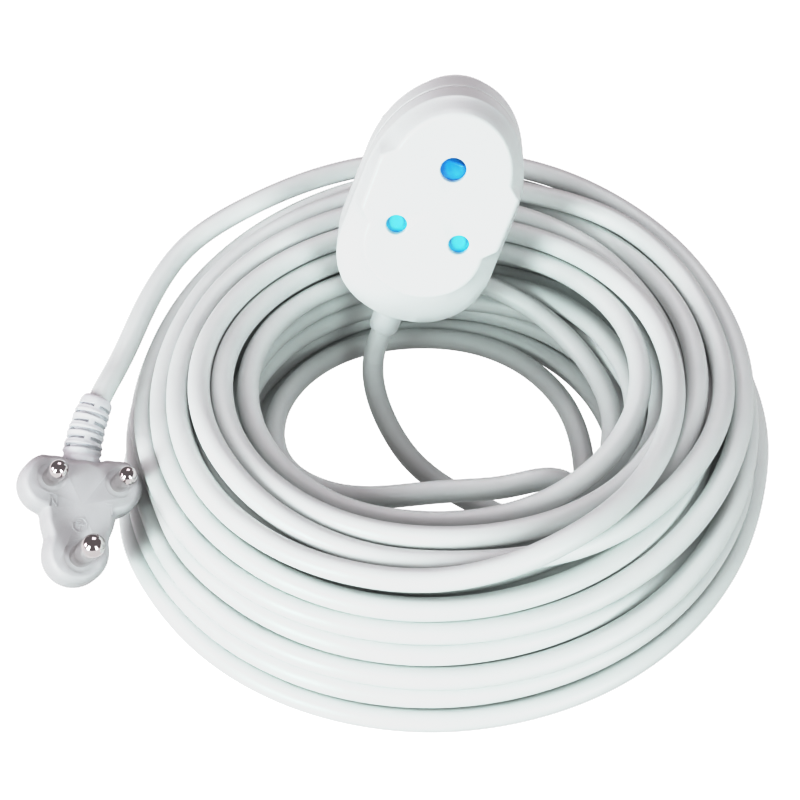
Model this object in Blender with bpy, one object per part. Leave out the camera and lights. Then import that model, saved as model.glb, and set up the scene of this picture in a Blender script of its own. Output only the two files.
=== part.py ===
"""Three-core extension lead: coiled flex, moulded three-pin plug and double-sided coupler socket."""
import math
import bpy
import bmesh
import numpy as np
from mathutils import Matrix, Vector

for ob in list(bpy.data.objects):
    bpy.data.objects.remove(ob, do_unlink=True)

MM = 0.001
# ---- driving dimensions, millimetres ----
CORD_R = 4.3              # flex radius
CORD_SIDES = 6
COIL_PLANES = 24          # stations per turn
COIL_SCALE = 1.036
GAP = 0.3                 # assembly gap between neighbouring pieces
PIN_SPACING = 25.4        # live to neutral
PIN_LINE = 28.58          # earth to the live/neutral line
EARTH_PIN_R, EARTH_PIN_L = 4.35, 28.58
LINE_PIN_R, LINE_PIN_L = 3.53, 18.6
HUB = 20.5                # half depth of the coupler
WALL = 2.2
SEAM = 0.15               # half of the gap between the two shells
HOLE_E_R, HOLE_L_R = 4.9, 4.0
SHUTTER_TRAVEL = 9.5
PLUG_T = 18.0             # thickness of the plug body

# the row's origin is the middle of the underside; the coil is wound about this point
COIL_CENTRE = (13.1198, -0.8313, 0.0)

# ---- placements in the coil's own frame: columns are the local x, y, z directions ----
COUPLER_AXES = ((0.9296, 0.3662, -0.0411), (-0.1407, 0.2495, -0.9581), (-0.3406, 0.8965, 0.2834))
COUPLER_FACE = (5.6, 46.0, 102.0)
PLUG_AXES = ((0.9356, 0.0645, 0.3470), (0.1140, 0.8752, -0.4701), (-0.3340, 0.4794, 0.8115))
PLUG_FACE = (-132.2, -42.8, 38.9)
COLLAR_PIVOT_Y = -71.2
BOOT_PIVOT = (5.04, 45.0, -9.0)


def frame_of(axes, origin):
    x = Vector((axes[0][0], axes[1][0], axes[2][0])).normalized()
    z = Vector((axes[0][2], axes[1][2], axes[2][2]))
    z = (z - x * z.dot(x)).normalized()
    y = z.cross(x)
    m = Matrix((x, y, z)).transposed().to_4x4()
    m.translation = Vector(origin)
    return m


COUPLER = frame_of(COUPLER_AXES, COUPLER_FACE) @ Matrix.Translation((0, 0, -HUB))
PLUG = frame_of(PLUG_AXES, PLUG_FACE)
COLLAR_PIVOT = COUPLER @ Vector((0, COLLAR_PIVOT_Y, 0))
BOOT_TIP = PLUG @ Vector(BOOT_PIVOT)
TAIL_PIVOT = Vector((-96.0, 80.5, 57.0))


# ---- materials ----
def material(name, color, rough=0.45, metal=0.0):
    m = bpy.data.materials.new(name)
    m.use_nodes = True
    b = m.node_tree.nodes["Principled BSDF"]
    b.inputs["Base Color"].default_value = (*color, 1.0)
    b.inputs["Roughness"].default_value = rough
    b.inputs["Metallic"].default_value = metal
    return m


WHITE = (0.80, 0.83, 0.82)
BLUE = (0.10, 0.55, 0.85)
STEEL = (0.62, 0.61, 0.60)
BRASS = (0.70, 0.52, 0.22)


# ---- mesh helpers (all local millimetres) ----
def tri_count(me):
    return sum(len(p.vertices) - 2 for p in me.polygons)


class Solid:
    def __init__(self):
        self.v, self.f = [], []

    def ring(self, pts):
        k = len(self.v)
        self.v.extend(Vector(p) for p in pts)
        return list(range(k, k + len(pts)))

    def bridge(self, a, b):
        n = len(a)
        for i in range(n):
            j = (i + 1) % n
            self.f.append((a[i], a[j], b[j], b[i]))

    def fan(self, r, centre):
        k = len(self.v)
        self.v.append(Vector(centre))
        n = len(r)
        for i in range(n):
            self.f.append((r[i], r[(i + 1) % n], k))


def centre_of(pts):
    c = Vector((0, 0, 0))
    for p in pts:
        c += Vector(p)
    return c / len(pts)


def loft(rings, cap=True, tips=(None, None)):
    s = Solid()
    ids = [s.ring(r) for r in rings]
    for a, b in zip(ids, ids[1:]):
        s.bridge(a, b)
    if cap:
        s.fan(ids[0], tips[0] if tips[0] is not None else centre_of(rings[0]))
        s.fan(ids[-1], tips[1] if tips[1] is not None else centre_of(rings[-1]))
    else:
        s.bridge(ids[-1], ids[0])
    return s


def circle(r, z, n, cx=0.0, cy=0.0):
    return [(cx + r * math.cos(2 * math.pi * i / n), cy + r * math.sin(2 * math.pi * i / n), z) for i in range(n)]


def rod(r, z0, z1, n=16, cx=0.0, cy=0.0):
    return loft([circle(r, z0, n, cx, cy), circle(r, z1, n, cx, cy)])


def tube(ro, ri, z0, z1, n=16, cx=0.0, cy=0.0):
    return loft([circle(ro, z0, n, cx, cy), circle(ro, z1, n, cx, cy),
                 circle(ri, z1, n, cx, cy), circle(ri, z0, n, cx, cy)], cap=False)


def block(x0, x1, y0, y1, z0, z1):
    return loft([[(x0, y0, z0), (x1, y0, z0), (x1, y1, z0), (x0, y1, z0)],
                 [(x0, y0, z1), (x1, y0, z1), (x1, y1, z1), (x0, y1, z1)]])


def turn_y(s):
    """Lay a solid made along z so that it runs along y."""
    for i, p in enumerate(s.v):
        s.v[i] = Vector((p.x, p.z, -p.y))
    return s


def sweep(path, radius, sides, dome_start=False, dome_end=False, extra=0):
    pts = [Vector(p) for p in path]
    n = len(pts)
    tang = []
    for i in range(n):
        a, b = pts[max(i - 1, 0)], pts[min(i + 1, n - 1)]
        tang.append((b - a).normalized())
    up = Vector((0, 0, 1))
    if abs(tang[0].dot(up)) > 0.95:
        up = Vector((1, 0, 0))
    u = (up - tang[0] * up.dot(tang[0])).normalized()
    rings = []
    for i in range(n):
        u = (u - tang[i] * u.dot(tang[i])).normalized()
        w = tang[i].cross(u)
        r = radius[i] if isinstance(radius, list) else radius
        rings.append([pts[i] + (u * math.cos(2 * math.pi * k / sides) + w * math.sin(2 * math.pi * k / sides)) * r
                      for k in range(sides)])
        if i == 0 and dome_start:
            pre = []
            for a in (70, 40):
                c, s_ = math.cos(math.radians(a)), math.sin(math.radians(a))
                pre.append([pts[0] - tang[0] * (r * s_) + (p - pts[0]) * c for p in rings[0]])
            rings = pre + rings
        if i == n - 1 and dome_end:
            base = rings[-1]
            for a in (40, 70):
                c, s_ = math.cos(math.radians(a)), math.sin(math.radians(a))
                rings.append([pts[-1] + tang[-1] * (r * s_) + (p - pts[-1]) * c for p in base])
    r0 = radius[0] if isinstance(radius, list) else radius
    t0 = pts[0] - tang[0] * r0 if dome_start else None
    t1 = pts[-1] + tang[-1] * r0 if dome_end else None
    return loft(rings, tips=(t0, t1))


def put(name, solids, place, pivot, color, rough=0.45, metal=0.0, cuts=(), smooth=40):
    """One closed object from solids (joined by union) less the cuts, with its origin at the pivot."""
    mat = material(name + "_mat", color, rough, metal)
    objs = []
    pivot = Vector(pivot)
    for k, s in enumerate(list(solids) + list(cuts)):
        me = bpy.data.meshes.new(name + "_m%d" % k)
        me.from_pydata([(place @ p - pivot) * MM for p in s.v], [], s.f)
        bm = bmesh.new()
        bm.from_mesh(me)
        bmesh.ops.recalc_face_normals(bm, faces=bm.faces)
        bm.to_mesh(me)
        bm.free()
        ob = bpy.data.objects.new(name if k == 0 else name + "_tool%d" % k, me)
        bpy.context.scene.collection.objects.link(ob)
        ob.location = (pivot + Vector(COIL_CENTRE)) * MM
        objs.append(ob)
    main = objs[0]
    for k, ob in enumerate(objs[1:], 1):
        mod = main.modifiers.new("b%d" % k, "BOOLEAN")
        mod.solver = "EXACT"
        mod.operation = "UNION" if k < len(solids) else "DIFFERENCE"
        mod.object = ob
    if len(objs) > 1:
        bpy.context.view_layer.update()
        dg = bpy.context.evaluated_depsgraph_get()
        me = bpy.data.meshes.new_from_object(main.evaluated_get(dg))
        main.modifiers.clear()
        main.data = me
        for ob in objs[1:]:
            bpy.data.objects.remove(ob, do_unlink=True)
    bm = bmesh.new()
    bm.from_mesh(main.data)
    bmesh.ops.remove_doubles(bm, verts=bm.verts, dist=0.00001)
    bmesh.ops.dissolve_degenerate(bm, edges=bm.edges, dist=0.000005)
    for f in bm.faces:
        f.smooth = True
    lim = math.radians(smooth)
    for e in bm.edges:
        if len(e.link_faces) == 2:
            e.smooth = e.calc_face_angle(0.0) < lim
    bm.to_mesh(main.data)
    bm.free()
    main.data.materials.clear()
    main.data.materials.append(mat)
    return main


# ---- the coil ----
# One row per turn in winding order: (radius, height) where the turn passes front, left, back and right.
TURNS = (
    (None, (119.0, 53.0), (117.0, 60.0), (115.0, 47.0)),
    ((101.0, 34.5), (109.5, 38.0), (108.0, 58.5), (117.0, 38.0)),
    ((109.4, 20.0), (114.5, 21.5), (117.0, 41.5), (118.0, 21.5)),
    ((106.3, 28.0), (114.7, 30.0), (116.8, 50.5), (118.0, 13.0)),
    ((117.3, 4.2), (117.0, 4.2), (116.5, 4.2), (118.0, 30.0)),
    ((112.6, 12.0), (113.5, 12.5), (117.0, 33.0), (117.0, 4.2)),
    ((108.8, 4.2), (108.6, 4.2), (107.6, 4.2), (108.6, 4.2)),
    ((100.4, 4.2), (100.2, 4.2), (99.2, 4.2), (100.2, 4.2)),
    ((92.0, 4.2), (91.8, 4.2), (91.0, 4.2), (91.8, 4.2)),
    ((83.6, 4.2), (83.4, 4.2), (83.4, 4.2), (83.4, 4.2)),
    ((79.5, 11.5), (79.2, 11.5), (79.0, 11.5), (79.2, 11.5)),
    ((88.0, 11.5), (87.6, 11.5), (95.0, 11.5), (87.6, 11.5)),
    ((96.3, 11.5), (96.0, 11.5), (103.4, 11.5), (96.0, 11.5)),
    ((104.6, 11.5), (104.8, 12.0), (112.0, 11.5), (108.8, 12.0)),
    ((100.7, 19.0), (105.8, 20.0), (116.8, 19.0), (109.6, 20.0)),
    ((92.4, 19.0), (97.0, 19.0), (107.6, 19.0), (100.4, 19.0)),
    ((84.0, 19.0), (88.4, 19.0), (99.2, 19.0), (92.0, 19.0)),
    ((75.7, 19.0), (80.0, 19.0), (87.5, 14.0), (83.6, 19.0)),
    ((79.0, 26.5), (75.5, 26.5), (76.0, 17.0), (79.0, 26.5)),
    ((87.5, 26.5), (84.0, 26.5), (91.0, 22.0), (87.6, 26.5)),
    ((96.0, 26.5), (98.0, 27.5), (112.5, 27.0), (98.0, 27.5)),
    ((91.5, 34.0), (101.0, 35.0), (104.0, 27.0), (107.0, 30.0)),
    ((83.0, 34.0), (91.6, 35.0), (95.5, 31.0), (93.0, 35.0)),
    ((74.5, 34.0), (74.0, 35.0), (77.5, 25.5), (76.0, 35.0)),
    ((69.0, 42.0), (83.0, 40.0), (108.0, 36.0), (84.5, 37.0)),
    ((79.0, 45.0), (93.0, 43.0), (108.0, 46.0), (97.5, 53.0)),
    ((88.5, 42.0), (85.0, 47.0), (99.0, 41.0), (101.0, 43.0)),
    ((99.0, 42.0), (101.5, 46.0), (100.0, 58.5), (108.8, 47.0)),
    ((85.0, 51.5), (87.0, 54.5), (87.5, 50.0), (87.5, 55.0)),
    ((93.4, 49.0), (94.4, 51.5), (93.0, 56.5), (92.0, 47.0)),
    ((77.0, 56.0), (78.3, 55.5), (83.5, 42.0), (77.5, 54.0)),
    ((65.0, 44.0), (68.8, 49.5), (80.0, 34.0), (70.5, 17.0)),
    ((40.5, 44.0), (63.0, 20.0), (71.5, 4.2), (54.6, 4.2)),
    ((71.5, 4.2), (75.0, 4.2), (77.0, 4.2), (71.0, 4.2)),
)
# between right and front of the third turn from the end the flex rises in a tight bend: station -> (radius, height)
RISE = {757: (70.0, 15.0), 758: (68.0, 20.0), 759: (57.5, 43.0), 760: (47.0, 44.0), 761: (42.0, 44.0)}
BEND = ((66.5, -32.5, 15.0), (59.3, -40.3, 19.5), (54.0, -42.0, 27.5), (51.0, -42.0, 37.0), (43.5, -41.3, 43.2))
BEND_AT = (758, 759)      # stations that the bend's own points stand in for
FIRST_ANGLE = 141.0       # where the plug's tail leaves the coil
LAST_PAST_RIGHT = 1       # stations past the right side where the coupler's tail leaves
COUPLER_TAIL = ((59.5, -41.0, 8.0), (48.5, -45.5, 14.2), (34.0, -40.0, 12.0), (24.0, -31.0, 7.5),
                (15.7, -22.5, 4.7), (4.0, -13.5, 4.5), (-9.5, 1.5, 4.7), (-17.5, 16.5, 7.5), (-23.0, 30.0, 13.5))
PLUG_TAIL = ((-110.8, 53.0, 54.5), (-117.0, 34.5, 52.0), (-121.9, 20.0, 49.6))


def catmull(points, steps):
    p = [Vector(q) for q in points]
    p = [p[0] * 2 - p[1]] + p + [p[-1] * 2 - p[-2]]
    out = []
    for i in range(1, len(p) - 2):
        for k in range(steps):
            t = k / steps
            out.append(0.5 * ((2 * p[i]) + (p[i + 1] - p[i - 1]) * t
                              + (2 * p[i - 1] - 5 * p[i] + 4 * p[i + 1] - p[i + 2]) * t * t
                              + (3 * p[i] - p[i - 1] - 3 * p[i + 1] + p[i + 2]) * t ** 3))
    out.append(p[-2])
    return out


def obstacles():
    """Capsules the turns must clear: (end, end, radius)."""
    caps = []
    for (x, y, z0, z1, r) in ((12.2, 8.4, -12.0, -5.0, 11.6), (12.7, 9.5, 0.0, 16.0, 4.4),
                              (0.0, -17.4, -12.0, -6.0, 12.6), (0.0, 0.0, -12.0, -6.0, 13.0)):
        caps.append((PLUG @ Vector((x, y, z0)), PLUG @ Vector((x, y, z1)), r))
    caps.append((PLUG @ Vector((-1, 16, -9)), PLUG @ Vector((0.5, 42, -9)), 8.0))
    run = [TAIL_PIVOT] + [Vector(q) for q in PLUG_TAIL] + [BOOT_TIP]
    caps += [(a, b, CORD_R) for a, b in zip(run, run[1:])]
    run = [Vector(q) for q in COUPLER_TAIL[1:]] + [COLLAR_PIVOT]
    caps += [(a, b, CORD_R) for a, b in zip(run, run[1:])]
    run = [Vector(q) for q in BEND]
    caps += [(a, b, CORD_R) for a, b in zip(run, run[1:])]
    for x in (-22, 0, 22):
        caps.append((COUPLER @ Vector((x, -34, -10)), COUPLER @ Vector((x, 22, -10)), 10.5))
    return caps


def coil_stations():
    """Relax the turns so that no two touch: every turn is a particle at every station."""
    K = COIL_PLANES
    q = K // 4
    am, av = [], []
    for j, (fr, le, ba, ri) in enumerate(TURNS):
        base = (j - 1) * K + 3 * q
        for off, s in ((0, fr), (q, le), (2 * q, ba), (3 * q, ri)):
            if s is not None:
                am.append(base + off)
                av.append((s[0] * COIL_SCALE, s[1] * COIL_SCALE))
    for k, s in RISE.items():
        am.append(k)
        av.append((s[0] * COIL_SCALE, s[1] * COIL_SCALE))
    order = np.argsort(am)
    am = np.array(am)[order]
    av = np.array(av, float)[order]
    m0 = int(round((180.0 - FIRST_ANGLE) * K / 360.0))
    m = np.arange(m0, am[-1] + LAST_PAST_RIGHT + 1)
    T = np.zeros((len(m), 2))
    W = np.zeros(len(m))
    for i, mm in enumerate(m):
        k = int(np.searchsorted(am, mm, side="right")) - 1
        k0, k1 = max(k, 0), min(max(k, 0) + 1, len(av) - 1)
        span = am[k1] - am[k0]
        t = 0.0 if span <= 0 else (mm - am[k0]) / span
        t = t * t * (3 - 2 * t)
        T[i] = av[k0] + (av[k1] - av[k0]) * t
        W[i] = 0.25 + 0.75 * math.exp(-(np.min(np.abs(am - mm)) / 1.8) ** 2)
    P = T + np.random.RandomState(7).uniform(-0.4, 0.4, T.shape)
    plane = m % K
    n = int(np.bincount(plane).max())
    idx = -np.ones((K, n), int)
    fill = np.zeros(K, int)
    for i, p in enumerate(plane):
        idx[p, fill[p]] = i
        fill[p] += 1
    mask = idx >= 0
    node = np.where(mask, idx, 0)
    pair = mask[:, :, None] & mask[:, None, :] & ~np.eye(n, dtype=bool)[None]
    # a half station: the middle of the stretch from each station to the next
    hmask = mask & (np.where(mask, idx, 0) < len(m) - 1)
    hpair = hmask[:, :, None] & hmask[:, None, :] & ~np.eye(n, dtype=bool)[None]
    nxt = np.where(hmask, idx + 1, 0)
    D = 2 * CORD_R * 1.02
    ang = np.radians(180.0 - 360.0 / K * m)
    er = np.stack([np.cos(ang), np.sin(ang)], 1)
    caps = [(np.array(a), np.array(b) - np.array(a), r) for a, b, r in obstacles()]
    own = (m >= BEND_AT[0] - 2) & (m <= BEND_AT[1] + 2)
    iters = 1400
    for it in range(iters):
        f = it / iters
        P += 0.10 * (1 - f) ** 1.5 * W[:, None] * (T - P)
        lap = np.zeros_like(P)
        lap[1:-1] = 0.5 * (P[:-2] + P[2:]) - P[1:-1]
        lap2 = np.zeros_like(P)
        lap2[1:-1] = 0.5 * (lap[:-2] + lap[2:]) - lap[1:-1]
        if f < 0.85:
            P += (0.15 if f < 0.6 else 0.05) * lap - (0.25 if f < 0.6 else 0.12) * lap2
        for half in (False, True):
            pr = hpair if half else pair
            Q = 0.5 * (P[node] + P[nxt]) if half else P[node]
            d = Q[:, :, None, :] - Q[:, None, :, :]
            r = np.sqrt((d ** 2).sum(-1)) + 1e-9
            over = np.where(pr & (r < D), D - r, 0.0)
            mv = (d / r[..., None] * (0.45 * over)[..., None]).sum(2)
            ln = np.sqrt((mv ** 2).sum(-1, keepdims=True)) + 1e-9
            mv = mv * np.minimum(1.0, 2.0 / ln)
            if half:
                np.add.at(P, node[hmask], mv[hmask])
                np.add.at(P, nxt[hmask], mv[hmask])
            else:
                np.add.at(P, node[mask], mv[mask])
        if f > 0.1:
            X = np.stack([P[:, 0] * er[:, 0], P[:, 0] * er[:, 1], P[:, 1]], 1)
            for c, (a, ab, r) in enumerate(caps):
                t = np.clip((X - a) @ ab / (ab @ ab), 0, 1)
                d = X - a - t[:, None] * ab
                ln = np.sqrt((d ** 2).sum(1)) + 1e-9
                amt = np.clip(r + CORD_R + 0.7 - ln, 0, 2.0)
                amt[:3] = 0
                if c > len(caps) - len(BEND):
                    amt[own] = 0
                amt[-3:] = 0
                P[:, 0] += 0.5 * amt * (d[:, 0] * er[:, 0] + d[:, 1] * er[:, 1]) / ln
                P[:, 1] += 0.5 * amt * d[:, 2] / ln
        P[:, 1] = np.maximum(P[:, 1], CORD_R)
    st = [Vector((P[i, 0] * math.cos(ang[i]), P[i, 0] * math.sin(ang[i]), P[i, 1])) for i in range(len(m))]
    i, j = BEND_AT[0] - m0, BEND_AT[1] - m0
    return st[:i] + [Vector(q) for q in BEND] + st[j + 1:]


def coil_path():
    st = coil_stations()
    y_dir = (COUPLER.to_3x3() @ Vector((0, 1, 0))).normalized()
    tail = catmull([st[-2], st[-1], *COUPLER_TAIL, COLLAR_PIVOT - y_dir * 12.5, COLLAR_PIVOT], 4)[4:]
    return st[:-1] + tail


# ---- coupler outlines ----
def coupler_outline(z, inset, sides, kind):
    """kind 0: widest outline; kind 1: face plateau with the grip flats."""
    out = []
    for i in range(sides):
        a = 2 * math.pi * (i + 0.5) / sides
        c, s = math.cos(a), math.sin(a)
        lo, hi = 0.0, 90.0
        for _ in range(40):
            mid = 0.5 * (lo + hi)
            x, y = mid * c, -8.0 + mid * s
            if inside_outline(x, y, inset, kind):
                lo = mid
            else:
                hi = mid
        out.append((lo * c, -8.0 + lo * s, z))
    return out


def inside_outline(x, y, inset, kind):
    x = abs(x)
    if kind == 0:
        if y > 0:
            return (x / (31.2 - inset)) ** 2 + (y / (41.0 - inset)) ** 2 < 1
        if y < -27:
            return (x / (31.7 - inset)) ** 2.2 + ((-27 - y) / (31.5 - inset)) ** 2.2 < 1
        return x < 31.2 + 0.5 * (-y / 27.0) - inset
    if y > 10:
        core = (x / (23.2 - inset)) ** 2 + ((y - 10) / (27.0 - inset)) ** 2 < 1
    elif y < -20:
        core = (x / (23.3 - inset)) ** 2 + ((-20 - y) / (21.7 - inset)) ** 2 < 1
    else:
        core = x < 23.25 - inset
    grip = x < 27.6 - inset and -11.5 + inset < y < 10.5 - inset
    return core or grip


def shell_solid(sides=40):
    """Front half: outer skin from the seam to the face, then the inner skin back to the seam."""
    z0 = SEAM
    rings = [coupler_outline(z0, 0.9, sides, 0), coupler_outline(z0 + 0.9, 0.1, sides, 0),
             coupler_outline(HUB - 10.5, 0.5, sides, 0), coupler_outline(HUB - 9.0, 1.3, sides, 0),
             coupler_outline(HUB - 0.9, 0.0, sides, 1), coupler_outline(HUB, 0.9, sides, 1)]
    inner = [coupler_outline(HUB - WALL, 2.6, sides, 1), coupler_outline(HUB - 9.6, 1.3 + WALL, sides, 0),
             coupler_outline(z0, 0.1 + WALL, sides, 0)]
    s = Solid()
    ids = [s.ring(r) for r in rings]
    for a, b in zip(ids, ids[1:]):
        s.bridge(a, b)
    s.fan(ids[-1], (0, -3.0, HUB))
    jd = [s.ring(r) for r in inner]
    s.fan(jd[0], (0, -3.0, HUB - WALL))
    for a, b in zip(jd, jd[1:]):
        s.bridge(a, b)
    s.bridge(jd[-1], ids[0])
    return s


HALF = PIN_LINE / 2
PINS = {"earth": (0.0, HALF), "live": (-PIN_SPACING / 2, -HALF), "neutral": (PIN_SPACING / 2, -HALF)}
MID_Y = -8.7              # the rear socket is the front one turned about this line
REAR = Matrix.Translation((0, 2 * MID_Y, 0)) @ Matrix.Rotation(math.pi, 4, "X")
BOSSES = ((22.0, 14.0), (-22.0, 14.0), (22.8, -31.5), (-22.8, -31.5))
CLAMP_Y, CLAMP_X = -46.5, 9.2


def moved(s, m):
    t = Solid()
    t.v = [m @ p for p in s.v]
    t.f = list(s.f)
    return t


def socket_cuts():
    cuts = [rod(HOLE_E_R, HUB - WALL - 1, HUB + 1, 24, *PINS["earth"])]
    for k in ("live", "neutral"):
        cuts.append(rod(HOLE_L_R, HUB - WALL - 1, HUB + 1, 20, *PINS[k]))
    return cuts


COLLAR_R = 6.9


def front_shell():
    adds = [shell_solid()]
    for x, y in BOSSES:
        adds.append(rod(3.1, SEAM, HUB - 6.0, 12, x, y))
    for sx in (-1, 1):
        adds.append(block(*sorted((sx * 17.4, sx * 18.9)), -28.0, -1.0, HUB - 6.5, HUB - WALL + 0.4))
    adds.append(block(-4.5, 4.5, -39.6, -38.1, HUB - 9.5, HUB - WALL + 0.4))
    cuts = socket_cuts() + [turn_y(rod(COLLAR_R + GAP, -62, -50, 20))]
    for x, y in BOSSES:
        cuts.append(rod(1.8, -1, 9.5, 10, x, y))
    return adds, cuts


def rear_shell():
    flip = Matrix.Rotation(math.pi, 4, "Y")
    adds = [moved(shell_solid(), flip)]
    for x, y in BOSSES:
        adds.append(rod(4.6, -HUB + 7.3, -SEAM, 14, x, y))
    for sx in (-1, 1):
        adds.append(moved(block(*sorted((sx * 17.4, sx * 18.9)), -28.0, -1.0, HUB - 6.5, HUB - WALL + 0.4), REAR))
        adds.append(rod(3.4, -HUB + 4.7, 3.9, 12, sx * CLAMP_X, CLAMP_Y))
    adds.append(moved(block(-4.5, 4.5, -39.6, -38.1, HUB - 9.5, HUB - WALL + 0.4), REAR))
    cuts = [moved(c, REAR) for c in socket_cuts()] + [turn_y(rod(COLLAR_R + GAP, -62, -50, 20))]
    for x, y in BOSSES:
        cuts.append(loft([circle(3.3, -HUB - 2, 14, x, y), circle(3.3, -HUB + 10.0, 14, x, y),
                          circle(1.8, -HUB + 10.0, 14, x, y), circle(1.8, 1, 14, x, y)]))
    for sx in (-1, 1):
        cuts.append(rod(1.8, -9.0, 5.0, 10, sx * CLAMP_X, CLAMP_Y))
    return adds, cuts


def shutter():
    """Plate behind a face; its sloped nose sits under the earth hole."""
    t0, t1 = HUB - WALL - GAP - 2.2, HUB - WALL - GAP
    plate = block(-17.0, 17.0, -19.6, 0.6, t0, t1)
    neck = block(-6.4, 6.4, 0.0, 11.4, t0, t1)
    nose = loft([[(x, 9.6, t1), (x, 10.4, t1), (x, 19.3, t1 - 8.9), (x, 18.1, t1 - 9.4), (x, 9.6, t0)] for x in (-6.4, 6.4)])
    wins = [rod(4.2, t0 - 1, t1 + 1, 18, sx * PIN_SPACING / 2, -HALF + SHUTTER_TRAVEL) for sx in (-1, 1)]
    return [plate, neck, nose], wins


def spring():
    """Wire coil between the shutter's lower edge and the stop rib."""
    y0, y1, r, turns, zc = -37.6, -20.2, 2.1, 5, HUB - WALL - GAP - 2.3
    pts = []
    for i in range(turns * 7 + 1):
        a = 2 * math.pi * i / 7
        pts.append((r * math.cos(a), y0 + 0.5 + (y1 - y0 - 1.0) * i / (turns * 7), zc + r * math.sin(a)))
    return sweep(pts, 0.35, 4)


def line_contact(sx):
    x = sx * PIN_SPACING / 2
    y1, y2 = -HALF, 2 * MID_Y + HALF
    strap = block(x - 2.2, x + 2.2, y1 - 2.0, y2 + 2.0, -0.9, 0.9)
    return [strap, tube(4.5, 3.75, 0.4, 12.5, 16, x, y1), tube(4.5, 3.75, -12.5, -0.4, 16, x, y2)]


def earth_contact():
    y1, y2 = HALF, 2 * MID_Y - HALF
    strap = block(-2.2, 2.2, y2 + 4.9, y1 - 4.9, -0.9, 0.9)
    return [strap, tube(5.4, 4.65, -9.5, 6.0, 18, 0, y1), tube(5.4, 4.65, -6.0, 9.5, 18, 0, y2)]


def pan_screw(z_head, z_tip, r_head, r_shank, down, n=10):
    """Screw on z: head at z_head, tip at z_tip, with a cross slot cut in the head."""
    h = 1.9 * down
    rings = [circle(r_head * 0.72, z_head, n), circle(r_head, z_head - 0.5 * down, n), circle(r_head, z_head - h, n),
             circle(r_shank, z_head - h, n), circle(r_shank, z_tip, n)]
    return loft(rings)


def cross_cut(z_head, down):
    a, b = sorted((z_head + 0.5 * down, z_head - 0.9 * down))
    return [block(-1.5, 1.5, -0.35, 0.35, a, b), block(-0.35, 0.35, -1.5, 1.5, a, b)]


# ---- plug outlines ----
LOBES = ((-12.2, 8.4, 10.8), (12.2, 8.4, 10.8), (0.0, -17.4, 12.0), (0.0, -4.0, 13.4), (0.0, 7.5, 10.5))


def plug_outline(z, inset, sides, shift=-0.8):
    out = []
    for i in range(sides):
        a = 2 * math.pi * (i + 0.5) / sides
        c, s = math.cos(a), math.sin(a)
        lo, hi = 0.0, 60.0
        for _ in range(36):
            mid = 0.5 * (lo + hi)
            x, y = mid * c, mid * s
            d = 0.0
            for cx, cy, r in LOBES:
                d += math.exp(-(math.hypot(x - cx, y - cy) - (r - inset)) / 1.1)
            top = y < 18.6 - inset
            if d > 1.0 and (top or y <= 0):
                lo = mid
            else:
                hi = mid
        out.append((lo * c + shift, lo * s, z))
    return out


PLUG_PINS = {"neutral": (-12.7, 9.53), "live": (12.7, 9.53), "earth": (0.0, -19.05)}
CARRIER_Z0, CARRIER_Z1 = -12.5, -4.0


def plug_solid(sides=40):
    levels = ((-PLUG_T, 4.2), (-PLUG_T + 0.9, 2.4), (-PLUG_T + 2.6, 0.9), (-PLUG_T + 5.5, 0.1),
              (-8.0, 0.0), (-4.0, 0.5), (-1.8, 1.5), (-0.5, 2.9), (0.0, 4.4))
    return loft([plug_outline(z, i, sides) for z, i in levels])


def plug_pocket(grow):
    """Room for the pin carrier inside the moulding."""
    return loft([plug_outline(z, 4.4 - grow, 44) for z in (CARRIER_Z0 - grow, CARRIER_Z1 + grow)])


def pin(r, length, base, n, at):
    x, y = at
    rings = [circle(r, base, n, x, y)]
    rings.append(circle(r, length - r, n, x, y))
    for a in (30, 55, 75):
        ca, sa = math.cos(math.radians(a)), math.sin(math.radians(a))
        rings.append(circle(r * ca, length - r + r * sa, n, x, y))
    return loft(rings, tips=(None, (x, y, length)))


def boot_axis(t):
    """Centre line of the cord guard in the plug's frame, t from 0 at its root to 1 at its tip."""
    x = -0.9 + 0.2 * t + 5.0 * t * t
    y = 16.0 + 27.2 * t
    return Vector((x, y, -9.0))


IDENT = Matrix.Identity(4)


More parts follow.
